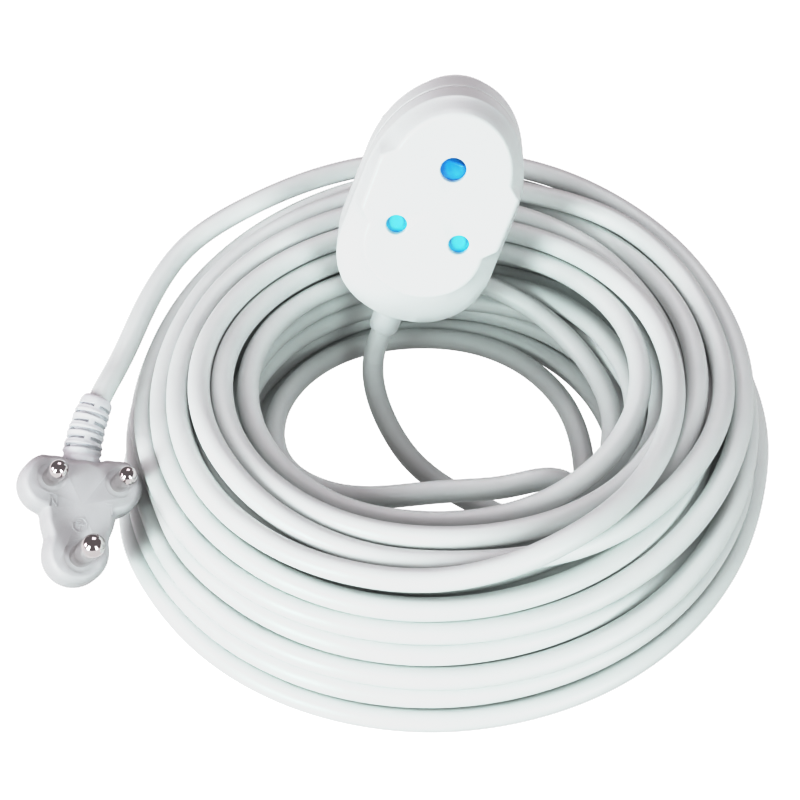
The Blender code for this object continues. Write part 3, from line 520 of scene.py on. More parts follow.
def ramp(nt, fac, lo, hi, p0=0.3, p1=0.7):
    r = nt.nodes.new("ShaderNodeMapRange")
    r.inputs["From Min"].default_value = p0
    r.inputs["From Max"].default_value = p1
    r.inputs["To Min"].default_value = lo
    r.inputs["To Max"].default_value = hi
    nt.links.new(fac, r.inputs["Value"])
    return r.outputs["Result"]


def mix_color(nt, fac, a, b):
    m = nt.nodes.new("ShaderNodeMix")
    m.data_type = "RGBA"
    m.inputs["A"].default_value = (*a, 1)
    m.inputs["B"].default_value = (*b, 1)
    nt.links.new(fac, m.inputs["Factor"])
    return m.outputs["Result"]


def bump(nt, heights, bsdf):
    prev = None
    for h, strength, dist in heights:
        b = nt.nodes.new("ShaderNodeBump")
        b.inputs["Strength"].default_value = strength
        b.inputs["Distance"].default_value = dist
        nt.links.new(h, b.inputs["Height"])
        if prev is not None:
            nt.links.new(prev, b.inputs["Normal"])
        prev = b.outputs["Normal"]
    nt.links.new(prev, bsdf.inputs["Normal"])


def plastic(name, base, dark, rough, fine=0.10, sss=0.12, coarse=0.0, rough_var=0.06):
    m, nt, b = new_material(name)
    v = object_coords(nt, 1.0)
    n1 = noise(nt, v, 35.0, 3.0)
    col = mix_color(nt, ramp(nt, n1, 0.0, 1.0), base, dark)
    nt.links.new(col, b.inputs["Base Color"])
    n2 = noise(nt, v, 900.0, 3.0)
    nt.links.new(ramp(nt, n2, rough - rough_var, rough + rough_var), b.inputs["Roughness"])
    b.inputs["Subsurface Weight"].default_value = sss
    b.inputs["Subsurface Radius"].default_value = (1.0, 0.9, 0.85)
    b.inputs["Subsurface Scale"].default_value = 0.0016
    b.inputs["IOR"].default_value = 1.5
    hs = [(noise(nt, v, 2600.0, 2.0), fine, 0.00012)]
    if coarse:
        hs.append((noise(nt, v, 160.0, 2.0), coarse, 0.0006))
    bump(nt, hs, b)
    return m


def metal(name, base, rough, streak=0.1, tint=None, axis_scale=(1, 1, 1), strength=0.05):
    m, nt, b = new_material(name)
    tc = nt.nodes.new("ShaderNodeTexCoord")
    mp = nt.nodes.new("ShaderNodeMapping")
    mp.inputs["Scale"].default_value = axis_scale
    nt.links.new(tc.outputs["Object"], mp.inputs["Vector"])
    v = mp.outputs["Vector"]
    n = noise(nt, v, 700.0, 4.0)
    nt.links.new(ramp(nt, n, max(rough - streak, 0.02), rough + streak), b.inputs["Roughness"])
    n2 = noise(nt, v, 60.0, 3.0)
    nt.links.new(mix_color(nt, ramp(nt, n2, 0, 1), base, tint or tuple(c * 0.86 for c in base)), b.inputs["Base Color"])
    b.inputs["Metallic"].default_value = 1.0
    bump(nt, [(n, strength, 0.00005)], b)
    return m


M_FLEX = plastic("flex_sheath", (0.79, 0.83, 0.815), (0.755, 0.795, 0.785), 0.40, fine=0.10, coarse=0.10)
M_SHELL = plastic("coupler_shell_plastic", (0.80, 0.845, 0.835), (0.775, 0.82, 0.812), 0.36, fine=0.14)
# painted shade: the plug's own white moulding is darkened to grey, well below the coupler shell's white
M_PLUG = plastic("plug_moulding_painted_shade", (0.56, 0.555, 0.565), (0.53, 0.525, 0.535), 0.42, fine=0.16, coarse=0.06)
M_BOOT = plastic("cord_guard_rubber", (0.77, 0.785, 0.80), (0.73, 0.745, 0.76), 0.48, fine=0.16)
M_COLLAR = plastic("collar_plastic", (0.78, 0.82, 0.815), (0.75, 0.79, 0.785), 0.42)
M_CARRIER = plastic("carrier_plastic", (0.035, 0.035, 0.04), (0.02, 0.02, 0.022), 0.45, sss=0.0)
M_CLAMP = plastic("clamp_plastic", (0.72, 0.74, 0.74), (0.68, 0.70, 0.70), 0.5, sss=0.05)
M_PIN = metal("pin_nickel", (0.70, 0.66, 0.66), 0.10, 0.04, strength=0.03)
M_STEEL = metal("zinc_steel", (0.55, 0.55, 0.56), 0.28, 0.08)
M_BRASS = metal("contact_brass", (0.72, 0.50, 0.20), 0.28, 0.08)
M_BROWN = plastic("core_brown", (0.16, 0.06, 0.025), (0.12, 0.045, 0.02), 0.4, sss=0.0)
M_BLUE = plastic("core_blue", (0.02, 0.09, 0.45), (0.015, 0.07, 0.36), 0.4, sss=0.0)
M_GREEN, _nt, _b = new_material("core_green_yellow")
_v = object_coords(_nt, 1.0)
_w = _nt.nodes.new("ShaderNodeTexWave")
_w.inputs["Scale"].default_value = 90.0
_nt.links.new(_v, _w.inputs["Vector"])
_nt.links.new(mix_color(_nt, ramp(_nt, _w.outputs["Fac"], 0, 1, 0.45, 0.55), (0.05, 0.30, 0.05), (0.75, 0.62, 0.03)), _b.inputs["Base Color"])
_b.inputs["Roughness"].default_value = 0.4


def painted_light_blue_plastic():
    m, nt, b = new_material("shutter_blue_painted_glow_and_shade")
    v = object_coords(nt, 1.0)
    n = noise(nt, v, 220.0, 3.0)
    sep = nt.nodes.new("ShaderNodeSeparateXYZ")
    nt.links.new(v, sep.inputs["Vector"])
    # painted shade: the shutter's blue is mixed from light blue at the live and neutral holes' height to deep blue at
    # the earth hole's height
    zl = (COUPLER @ Vector((0, -HALF + 4.5, HUB)) + SHIFT).z * MM
    ze = (COUPLER @ Vector((0, HALF, HUB)) + SHIFT).z * MM
    add = nt.nodes.new("ShaderNodeMath")
    add.operation = "MULTIPLY_ADD"
    nt.links.new(ramp(nt, n, -0.15, 0.15, 0.3, 0.7), add.inputs[0])
    add.inputs[1].default_value = 1.0
    nt.links.new(ramp(nt, sep.outputs["Z"], 0.0, 1.0, zl, ze), add.inputs[2])
    add.use_clamp = True
    col = mix_color(nt, add.outputs["Value"], (0.13, 0.66, 0.95), (0.02, 0.34, 0.84))
    nt.links.new(col, b.inputs["Base Color"])
    b.inputs["Roughness"].default_value = 0.22
    nt.links.new(ramp(nt, noise(nt, v, 900.0), 0.16, 0.30), b.inputs["Roughness"])
    b.inputs["Subsurface Weight"].default_value = 0.25
    b.inputs["Subsurface Radius"].default_value = (0.3, 0.8, 1.0)
    b.inputs["Subsurface Scale"].default_value = 0.002
    # painted glow: the shutter's blue also drives emission, so it glows inside the holes
    nt.links.new(col, b.inputs["Emission Color"])
    b.inputs["Emission Strength"].default_value = 0.10
    b.inputs["Coat Weight"].default_value = 0.4
    b.inputs["Coat Roughness"].default_value = 0.08
    bump(nt, [(n, 0.05, 0.0002)], b)
    return m


M_SHUTTER = painted_light_blue_plastic()


# ================= building =================
def finish_mesh(ob, mat, smooth):
    me = ob.data
    bm = bmesh.new()
    bm.from_mesh(me)
    bmesh.ops.remove_doubles(bm, verts=bm.verts, dist=0.000002)
    bmesh.ops.recalc_face_normals(bm, faces=bm.faces)
    lim = math.radians(smooth)
    for f in bm.faces:
        f.smooth = True
    for e in bm.edges:
        if len(e.link_faces) == 2:
            g = e.calc_face_angle(0.0)
            q = sorted(f.calc_area() for f in e.link_faces)
            e.smooth = g < lim and not (g > 0.004 and q[1] > 20 * q[0] and q[1] > 0.000004)
    bm.to_mesh(me)
    bm.free()
    me.materials.clear()
    me.materials.append(mat)


def solid_object(name, s, place):
    me = bpy.data.meshes.new(name)
    me.from_pydata([(place @ p + SHIFT) * MM for p in s.v], [], s.f)
    bm = bmesh.new()
    bm.from_mesh(me)
    bmesh.ops.recalc_face_normals(bm, faces=bm.faces)
    bm.to_mesh(me)
    bm.free()
    ob = bpy.data.objects.new(name, me)
    bpy.context.scene.collection.objects.link(ob)
    return ob


def piece(name, solids, place, mat, body, stands_for=(), cuts=(), smooth=32, bevel=None):
    obs = [solid_object(name + ("" if k == 0 else "_t%d" % k), s, place) for k, s in enumerate(list(solids) + list(cuts))]
    main = obs[0]
    for k, ob in enumerate(obs[1:], 1):
        mod = main.modifiers.new("b%d" % k, "BOOLEAN")
        mod.solver = "EXACT"
        mod.operation = "UNION" if k < len(solids) else "DIFFERENCE"
        mod.object = ob
    if bevel:
        mod = main.modifiers.new("bev", "BEVEL")
        mod.width = bevel * MM
        mod.segments = 2
        mod.limit_method = "ANGLE"
        mod.angle_limit = math.radians(40)
    if main.modifiers:
        bpy.context.view_layer.update()
        dg = bpy.context.evaluated_depsgraph_get()
        me = bpy.data.meshes.new_from_object(main.evaluated_get(dg))
        main.modifiers.clear()
        main.data = me
        for ob in obs[1:]:
            bpy.data.objects.remove(ob, do_unlink=True)
    finish_mesh(main, mat, smooth)
    if stands_for:
        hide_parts(*stands_for)
    if body:
        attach(main, body)
    return main


# ---- the flex: one smooth route cut into pieces that meet end to end ----
def smooth_route():
    stations = coil_stations()
    y_dir = (COUPLER.to_3x3() @ Vector((0, 1, 0))).normalized()
    plug_side = [PLUG @ Vector((-0.9, 8.9, -9.0))] + [PLUG @ boot_axis(t / 4) for t in range(0, 5)] + [BOOT_TIP]
    plug_side += [Vector(q) for q in reversed(PLUG_TAIL)] + [TAIL_PIVOT]
    coupler_side = [Vector(q) for q in COUPLER_TAIL] + [COLLAR_PIVOT - y_dir * 12.5, COLLAR_PIVOT, COLLAR_PIVOT + y_dir * 14, COLLAR_PIVOT + y_dir * 29.5]
    ctrl = plug_side + stations[1:-1] + coupler_side
    P = np.array([tuple(p) for p in ctrl])
    P = np.vstack([2 * P[0] - P[1], P, 2 * P[-1] - P[-2]])
    out = []
    for i in range(1, len(P) - 2):
        p0, p1, p2, p3 = P[i - 1], P[i], P[i + 1], P[i + 2]
        d1 = max(np.linalg.norm(p1 - p0), 1e-6) ** 0.5
        d2 = max(np.linalg.norm(p2 - p1), 1e-6) ** 0.5
        d3 = max(np.linalg.norm(p3 - p2), 1e-6) ** 0.5
        m1 = (p1 - p0) / d1 - (p2 - p0) / (d1 + d2) + (p2 - p1) / d2
        m2 = (p2 - p1) / d2 - (p3 - p1) / (d2 + d3) + (p3 - p2) / d3
        m1, m2 = m1 * d2, m2 * d2
        n = max(3, int(np.linalg.norm(p2 - p1) / 1.5))
        t = np.linspace(0, 1, n, endpoint=False)[:, None]
        out.append((2 * t ** 3 - 3 * t ** 2 + 1) * p1 + (t ** 3 - 2 * t ** 2 + t) * m1 + (-2 * t ** 3 + 3 * t ** 2) * p2 + (t ** 3 - t ** 2) * m2)
    pts = np.vstack(out + [P[-2][None]])
    s = np.concatenate([[0], np.cumsum(np.linalg.norm(np.diff(pts, axis=0), axis=1))])
    step = 3.0
    u = np.linspace(0, s[-1], int(s[-1] / step) + 1)
    pts = np.stack([np.interp(u, s, pts[:, k]) for k in range(3)], 1)
    for _ in range(14):
        q = pts.copy()
        q[1:-1] = 0.5 * pts[1:-1] + 0.25 * (pts[:-2] + pts[2:])
        q[:6] = pts[:6]
        q[-10:] = pts[-10:]
        pts = q
    s = np.concatenate([[0], np.cumsum(np.linalg.norm(np.diff(pts, axis=0), axis=1))])
    return pts, s


def tube_rings(pts, radius, sides):
    n = len(pts)
    t = np.zeros_like(pts)
    t[1:-1] = pts[2:] - pts[:-2]
    t[0], t[-1] = pts[1] - pts[0], pts[-1] - pts[-2]
    t /= np.linalg.norm(t, axis=1)[:, None]
    u = np.zeros_like(pts)
    a = np.array([0, 0, 1.0])
    a = a - t[0] * (a @ t[0])
    u[0] = a / np.linalg.norm(a)
    for i in range(1, n):
        a = u[i - 1] - t[i] * (u[i - 1] @ t[i])
        # keep the frame near upright so that the section's seams stay level
        z = np.array([0, 0, 1.0]) - t[i] * t[i][2]
        a = a + 0.02 * z
        u[i] = a / np.linalg.norm(a)
    w = np.cross(t, u)
    th = np.arange(sides) * 2 * math.pi / sides
    r = np.broadcast_to(np.asarray(radius, float), (n,))
    ring = pts[:, None, :] + r[:, None, None] * (np.cos(th)[None, :, None] * u[:, None, :] + np.sin(th)[None, :, None] * w[:, None, :])
    return ring


def tube_object(name, ring, mat, cap_a, cap_b):
    n, k = ring.shape[:2]
    v = (ring.reshape(-1, 3) + np.array(SHIFT)) * MM
    i = np.arange(n - 1)[:, None] * k
    j = np.arange(k)[None, :]
    a = i + j
    b = i + (j + 1) % k
    quads = np.stack([a, b, b + k, a + k], -1).reshape(-1, 4)
    faces = quads.tolist()
    faces.append(list(range(k))[::-1])
    faces.append([(n - 1) * k + q for q in range(k)])
    me = bpy.data.meshes.new(name)
    me.from_pydata(v.tolist(), [], faces)
    me.polygons.foreach_set("use_smooth", [True] * (len(faces) - 2) + [False, False])
    me.materials.append(mat)
    me.update()
    bm = bmesh.new()
    bm.from_mesh(me)
    bm.faces.ensure_lookup_table()
    for f in bm.faces[-2:]:
        for e in f.edges:
            e.smooth = False
    bm.to_mesh(me)
    bm.free()
    ob = bpy.data.objects.new(name, me)
    bpy.context.scene.collection.objects.link(ob)
    return ob


def build_flex():
    pts, s = smooth_route()

    def near(p):
        return int(np.argmin(np.linalg.norm(pts - np.array(tuple(p)), axis=1)))

    i_boot, i_tail = near(BOOT_TIP), near(TAIL_PIVOT)
    i_collar = near(COLLAR_PIVOT)
    wob = CORD_R * (1 + 0.006 * np.sin(s / 9.5) * np.sin(s / 83.0))
    ring = tube_rings(pts, wob, 20)
    a0, a1 = i_boot - 2, i_boot + 4
    b0, b1 = i_tail - 6, i_tail + 6
    c0, c1 = i_collar - 5, i_collar + 3
    last = len(pts) - 1
    parts = [("flex_in_plug", 0, a0, "plug", None, ("flex_cable_plug_stub",)),
             ("flex_at_guard", a0, a1, None, ("plug", "plug_lead"), ()),
             ("flex_plug_lead", a1, b0, "plug_lead", None, ("flex_cable_plug_tail",)),
             ("flex_at_coil", b0, b1, None, ("plug_lead", "coil"), ()),
             ("flex_coil", b1, c0, "coil", None, ("flex_cable_coil",)),
             ("flex_at_collar", c0, c1, None, ("coil", "coupler"), ()),
             ("flex_in_coupler", c1, last, "coupler", None, ("flex_cable_coupler_stub",))]
    for name, i, j, body, pair, stands in parts:
        ob = tube_object(name, ring[i:j + 1], M_FLEX, False, False)
        if stands:
            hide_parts(*stands)
        if body:
            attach(ob, body)
        else:
            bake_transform(ob)


# ---- coupler ----
def inside_outline(x, y, inset, kind):
    """As the solid's outline, with slanted ends to the grip flats."""
    x = abs(x)
    if kind == 0:
        if y > 0:
            return (x / (31.2 - inset)) ** 2 + (y / (41.0 - inset)) ** 2 < 1
        if y < -27:
            return (x / (31.7 - inset)) ** 2.2 + ((-27 - y) / (31.5 - inset)) ** 2.2 < 1
        return x < 31.2 + 0.5 * (-y / 27.0) - inset
    if y > 10:
        core = (x / (23.2 - inset)) ** 2 + ((y - 10) / (27.0 - inset)) ** 2 < 1
    elif y < -20:
        core = (x / (23.3 - inset)) ** 2 + ((-20 - y) / (21.7 - inset)) ** 2 < 1
    else:
        core = x < 23.25 - inset
    grip = x < 27.6 - inset and -12.2 - (27.6 - x) * 1.05 + inset < y < 10.8 + (27.6 - x) * 0.9 - inset
    return core or grip


def blended(za, a, zb, b, f):
    return [Vector(p).lerp(Vector(q), f) for p, q in zip(a, b)]


def fine_shell(sides=224):
    z0 = SEAM
    rows = [(z0, 1.15, 0), (z0 + 0.05, 0.9, 0), (z0 + 0.2, 0.7, 0), (z0 + 0.45, 0.56, 0), (z0 + 0.8, 0.48, 0), (z0 + 3.0, 0.45, 0),
            (HUB - 11.4, 0.45, 0), (HUB - 10.6, 0.50, 0), (HUB - 10.2, 0.62, 0), (HUB - 9.8, 0.82, 0), (HUB - 9.4, 1.05, 0)]
    rings = [coupler_outline(z, i, sides, k) for z, i, k in rows]
    top = coupler_outline(HUB - 1.4, -0.6, sides, 1)
    rings.append(blended(0, rings[len(rows) - 1], 0, top, 0.33))
    rings.append(blended(0, rings[len(rows) - 1], 0, top, 0.66))
    for k in range(8):
        a = math.radians(30 + 60 * k / 7)
        rings.append(coupler_outline(HUB - 2.0 + 2.0 * math.sin(a), -0.75 + 2.2 * (1 - math.cos(a)) , sides, 1))
    s = Solid()
    ids = [s.ring(r) for r in rings]
    for a, b in zip(ids, ids[1:]):
        s.bridge(a, b)
    s.fan(ids[-1], (0, -3.0, HUB))
    inner = [coupler_outline(HUB - WALL, 2.6, sides, 1), coupler_outline(HUB - 9.6, 1.3 + WALL, sides, 0), coupler_outline(z0, 0.1 + WALL, sides, 0)]
    jd = [s.ring(r) for r in inner]
    s.fan(jd[0], (0, -3.0, HUB - WALL))
    for a, b in zip(jd, jd[1:]):
        s.bridge(a, b)
    s.bridge(jd[-1], ids[0])
    return s


def hole_cut(r, x, y, n=48):
    return loft([circle(r, HUB - WALL - 1, n, x, y), circle(r, HUB - 0.55, n, x, y), circle(r + 0.12, HUB - 0.3, n, x, y),
                 circle(r + 0.3, HUB - 0.12, n, x, y), circle(r + 0.62, HUB + 0.02, n, x, y), circle(r + 0.62, HUB + 1, n, x, y)])


def build_coupler():
    holes = [hole_cut(HOLE_E_R if k == "earth" else HOLE_L_R, *PINS[k]) for k in ("earth", "live", "neutral")]
    entry = turn_y(rod(6.9 + GAP, -64, -50, 48))
    adds = [fine_shell()]
    for x, y in BOSSES:
        adds.append(rod(3.1, SEAM, HUB - 6.0, 20, x, y))
    for sx in (-1, 1):
        adds.append(block(*sorted((sx * 17.4, sx * 18.9)), -28.0, -1.0, HUB - 6.5, HUB - WALL + 0.4))
    adds.append(block(-4.5, 4.5, -39.6, -38.1, HUB - 9.5, HUB - WALL + 0.4))
    cuts = holes + [entry] + [rod(1.8, -1, 9.5, 16, x, y) for x, y in BOSSES]
    piece("coupler_front_shell_fine", adds, COUPLER, M_SHELL, "coupler", ("coupler_front_shell",), cuts)
    flip = Matrix.Rotation(math.pi, 4, "Y")
    adds = [moved(fine_shell(), flip)]
    for x, y in BOSSES:
        adds.append(rod(4.6, -HUB + 7.3, -SEAM, 24, x, y))
    for sx in (-1, 1):
        adds.append(moved(block(*sorted((sx * 17.4, sx * 18.9)), -28.0, -1.0, HUB - 6.5, HUB - WALL + 0.4), REAR))
        adds.append(rod(3.4, -HUB + 4.7, 3.9, 20, sx * CLAMP_X, CLAMP_Y))
    adds.append(moved(block(-4.5, 4.5, -39.6, -38.1, HUB - 9.5, HUB - WALL + 0.4), REAR))
    cuts = [moved(c, REAR) for c in holes] + [entry]
    for x, y in BOSSES:
        cuts.append(loft([circle(3.3, -HUB - 2, 28, x, y), circle(3.3, -HUB + 10.0, 28, x, y),
                          circle(1.8, -HUB + 10.0, 28, x, y), circle(1.8, 1, 28, x, y)]))
    for sx in (-1, 1):
        cuts.append(rod(1.8, -9.0, 5.0, 16, sx * CLAMP_X, CLAMP_Y))
    piece("coupler_rear_shell_fine", adds, COUPLER, M_SHELL, "coupler", ("coupler_rear_shell",), cuts)
    prof = [(4.62, -54.6), (6.9, -54.6), (6.9, -59.2), (6.6, -60.0), (6.25, -61.0), (6.1, -62.0), (5.95, -66.0), (5.8, -68.0),
            (5.6, -68.9), (5.3, -69.3), (5.0, -69.45), (4.62, -69.4)]
    collar = loft([circle(r, z, 48) for r, z in prof], cap=False)
    piece("coupler_collar_fine", [turn_y(collar)], COUPLER, M_COLLAR, "coupler", ("coupler_cord_collar",), smooth=40)


# ---- plug ----
def fine_plug(sides=200):
    rows = []
    t = PLUG_T
    for k in range(0, 9):                     # back edge
        a = math.radians(90 * k / 8)
        rows.append((-t + 5.0 * (1 - math.sin(a)), 4.6 * (1 - math.cos(a)) if False else 4.6 - 4.6 * math.cos(math.radians(90) - a)))
    rows = [(-t + 5.0 * (1 - math.cos(math.radians(90 * k / 8))), 4.6 * (1 - math.sin(math.radians(90 * k / 8)))) for k in range(0, 9)]
    rows += [(-9.0, 0.0), (-4.6, 0.10)]
    rows += [(-4.6 + 4.6 * math.sin(math.radians(90 * k / 9)), 0.10 + 2.7 * (1 - math.cos(math.radians(90 * k / 9)))) for k in range(1, 10)]
    return loft([plug_outline(z, i, sides) for z, i in rows])


def dish(r, x, y):
    return loft([circle(r - 0.06, CARRIER_Z1 - 1, 56, x, y), circle(r - 0.06, -0.45, 56, x, y), circle(r + 0.9, -0.40, 56, x, y), circle(r + 1.5, -0.30, 56, x, y),
                 circle(r + 1.95, -0.14, 56, x, y), circle(r + 2.3, 0.02, 56, x, y), circle(r + 2.8, 0.3, 56, x, y)])


def build_plug():
    room = sweep([Vector((-0.9, 5.2, -9.0)), Vector((-0.9, 25.0, -9.0))], CORD_R + GAP, 32)
    cuts = [plug_pocket_fine(GAP), room]
    for k, p in PLUG_PINS.items():
        r = EARTH_PIN_R if k == "earth" else LINE_PIN_R
        cuts.append(dish(r, *p))
    piece("plug_body_fine", [fine_plug()] + face_marks(), PLUG, M_PLUG, "plug", ("plug_body",), cuts, smooth=36)
    for k in ("earth", "live", "neutral"):
        r, ln = (EARTH_PIN_R, EARTH_PIN_L) if k == "earth" else (LINE_PIN_R, LINE_PIN_L)
        x, y = PLUG_PINS[k]
        rings = [circle(r - 0.3, -9.1, 48, x, y), circle(r, -8.8, 48, x, y), circle(r, ln - r, 48, x, y)]
        for a in range(6, 90, 6):
            rings.append(circle(r * math.cos(math.radians(a)), ln - r + r * math.sin(math.radians(a)), 48, x, y))
        piece(k + "_pin_fine", [loft(rings, tips=(None, (x, y, ln)))], PLUG, M_PIN, "plug", (k + "_pin",))
    # cord guard
    hollow = [Vector((-0.9, 8.6, -9.0))] + [boot_axis(t / 12) for t in range(0, 13)] + [boot_axis(1.0) + Vector((0.6, 3.0, 0))]
    n = 96
    axis = [Vector((-0.9, 14.0, -9.0)), Vector((-0.9, 15.0, -9.0))] + [boot_axis(t / n) for t in range(0, n + 1)]
    rad = [7.5, 7.5]
    for t in range(0, n + 1):
        f = t / n
        r = 7.35 - 1.05 * f - 0.25 * f * f
        if f < 0.12:
            r = 7.35
        elif f < 0.20:
            r -= 0.35 * math.sin(math.pi * (f - 0.12) / 0.08)
        for k in range(3):
            g = 0.73 - 0.235 * k
            for side in (-1, 1):
                r += 0.34 * math.exp(-((f - g - side * 0.043) / 0.022) ** 2)
        if f > 0.91:
            r = 4.7 + (r - 4.7) * math.sqrt(max(0.0, 1 - ((f - 0.91) / 0.09) ** 2))
        rad.append(r)
    cut = []
    for k in range(3):
        cut += [band_cut(0.845 - 0.235 * k, 0.66, 4.85, 100 + 180 * s_, 188 + 180 * s_) for s_ in (0, 1)]
        cut += [band_cut(0.845 - 0.235 * k, 0.66, 4.85, -8 + 180 * s_, 80 + 180 * s_) for s_ in (0, 1)]
        cut += [band_cut(0.73 - 0.235 * k, 0.78, 5.1 + 0.15 * k, 14 + 180 * s_, 166 + 180 * s_) for s_ in (0, 1)]
    piece("plug_cord_guard_fine", [sweep(axis, rad, 56)], PLUG, M_BOOT, "plug", ("plug_cord_guard",),
          [sweep(hollow, CORD_R + 0.12, 32)] + cut, smooth=40, bevel=None)


def band_cut(t, w, r0, a0, a1, r1=9.5, n=22):
    """Part of a ring about the cord guard's centre line."""
    c = boot_axis(t)
    d = (boot_axis(t + 0.02) - boot_axis(t - 0.02)).normalized()
    u = Vector((d.y, -d.x, 0))
    z = Vector((0, 0, 1))
    s = Solid()
    ids = []
    for i in range(n + 1):
        a = math.radians(a0 + (a1 - a0) * i / n)
        q = u * math.cos(a) + z * math.sin(a)
        ids.append(s.ring([c + q * r0 - d * w * 0.7, c + q * r1 - d * w * 1.5, c + q * r1 + d * w * 1.5, c + q * r0 + d * w * 0.7]))
    for a, b in zip(ids, ids[1:]):
        s.bridge(a, b)
    s.f.append(tuple(ids[0][::-1]))
    s.f.append(tuple(ids[-1]))
    return s


def plug_pocket_fine(grow):
    return loft([plug_outline(z, 4.4 - grow, 60) for z in (CARRIER_Z0 - grow, CARRIER_Z1 + grow)])


def fine_shutter():
    t0, t1 = HUB - WALL - GAP - 2.2, HUB - WALL - GAP
    plate = block(-17.0, 17.0, -19.6, 0.6, t0, t1)
    pad = 6.6
    rows = [(9.0, t1, t0), (12.0, t1, t0), (15.2, t1, t0), (16.1, t1 - 0.15, t0), (16.7, t1 - 0.7, t0 - 0.4), (17.6, t1 - 3.2, t0 - 2.4), (18.4, t1 - 5.6, t0 - 4.6)]
    prof = [(y, a) for y, a, b in rows] + [(y - 0.9, b) for y, a, b in reversed(rows)]
    xs = [(-pad, 0.8), (-pad + 0.25, 0.25), (-pad + 0.8, 0.0), (pad - 0.8, 0.0), (pad - 0.25, 0.25), (pad, 0.8)]
    nose = loft([[(x, y, z - d * (1 if k < len(rows) else 0)) for k, (y, z) in enumerate(prof)] for x, d in xs])
    neck = block(-6.0, 6.0, 0.0, 10.0, t0, t1)
    wins = [rod(4.2, t0 - 1, t1 + 1, 40, sx * PIN_SPACING / 2, -HALF + SHUTTER_TRAVEL) for sx in (-1, 1)]
    for sx in (-1, 1):
        x, y = sx * PIN_SPACING / 2 - 0.35, -HALF + 0.45
        ring = [circle(2.75, t1 - 0.7, 48, x, y), circle(2.85, t1 - 0.12, 48, x, y), circle(3.0, t1 + 0.2, 48, x, y),
                circle(4.6, t1 + 0.2, 48, x, y), circle(4.6, t1 - 0.7, 48, x, y)]
        wins.append(loft(ring, cap=False))
    return [plate, neck, nose], wins


def build_shutters():
    adds, wins = fine_shutter()
    piece("front_shutter_fine", adds, COUPLER, M_SHUTTER, "front_shutter", ("front_shutter",), wins, smooth=50, bevel=0.15)
    piece("rear_shutter_fine", [moved(q, REAR) for q in adds], COUPLER, M_SHUTTER, "rear_shutter", ("rear_shutter",),
          [moved(q, REAR) for q in wins], smooth=50, bevel=0.15)


def build_springs():
    y0, y1, r, turns, zc = -37.6, -20.2, 2.1, 5, HUB - WALL - GAP - 2.3
    pts = []
    for i in range(turns * 24 + 1):
        a = 2 * math.pi * i / 24
        pts.append((r * math.cos(a), y0 + 0.5 + (y1 - y0 - 1.0) * i / (turns * 24), zc + r * math.sin(a)))
    for side, m in (("front", Matrix.Identity(4)), ("rear", REAR)):
        ob = piece(side + "_shutter_spring_fine", [moved(sweep(pts, 0.34, 10), m)], COUPLER, M_STEEL, "coupler", (side + "_shutter_spring",), smooth=60)
        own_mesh(ob)


def face_marks():
    """Generic raised marks on the plug's face: N, L and the earth sign."""
    z0, z1, w = -0.4, 0.16, 0.26
    out = []

    def stroke(xa, ya, xb, yb):
        ln = math.hypot(xb - xa, yb - ya) / 2
        m = Matrix.Translation(((xa + xb) / 2, (ya + yb) / 2, 0)) @ Matrix.Rotation(math.atan2(yb - ya, xb - xa), 4, "Z")
        return moved(block(-ln - w * 0.9, ln + w * 0.9, -w, w, z0, z1 + 0.003 * len(out)), m)

    nx, ny, lx, ly, ex, ey = -11.6, 0.6, 9.4, -0.6, -1.2, -7.6
    for q in ((nx - 1.3, ny - 1.9, nx - 1.3, ny + 1.9), (nx + 1.3, ny - 1.9, nx + 1.3, ny + 1.9), (nx - 1.3, ny + 1.9, nx + 1.3, ny - 1.9),
              (lx + 1.1, ly - 1.9, lx + 1.1, ly + 1.9), (lx - 1.1, ly + 1.9, lx + 1.1, ly + 1.9),
              (ex, ey - 1.7, ex, ey + 0.1), (ex - 1.4, ey + 0.1, ex + 1.4, ey + 0.1), (ex - 0.9, ey + 0.8, ex + 0.9, ey + 0.8), (ex - 0.4, ey + 1.5, ex + 0.4, ey + 1.5)):
        out.append(stroke(*q))
    out.append(tube(2.9, 2.4, z0, z1, 40, ex, ey))
    return out


def paint(node, mat):
    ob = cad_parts[node]
    ob.data.materials.clear()
    ob.data.materials.append(mat)


build_flex()
build_coupler()
build_plug()
build_shutters()
build_springs()
for node, mat in (("live_contact", M_BRASS), ("neutral_contact", M_BRASS), ("earth_contact", M_BRASS),
                  ("coupler_live_core", M_BROWN), ("coupler_neutral_core", M_BLUE), ("coupler_earth_core", M_GREEN),
                  ("plug_live_core", M_BROWN), ("plug_neutral_core", M_BLUE), ("plug_earth_core", M_GREEN),
                  ("plug_pin_carrier", M_CARRIER), ("cord_clamp", M_CLAMP), ("cord_clamp_screw_left", M_STEEL),
                  ("cord_clamp_screw_right", M_STEEL), ("shell_screw_1", M_STEEL), ("shell_screw_2", M_STEEL),
                  ("shell_screw_3", M_STEEL), ("shell_screw_4", M_STEEL)):
    paint(node, mat)


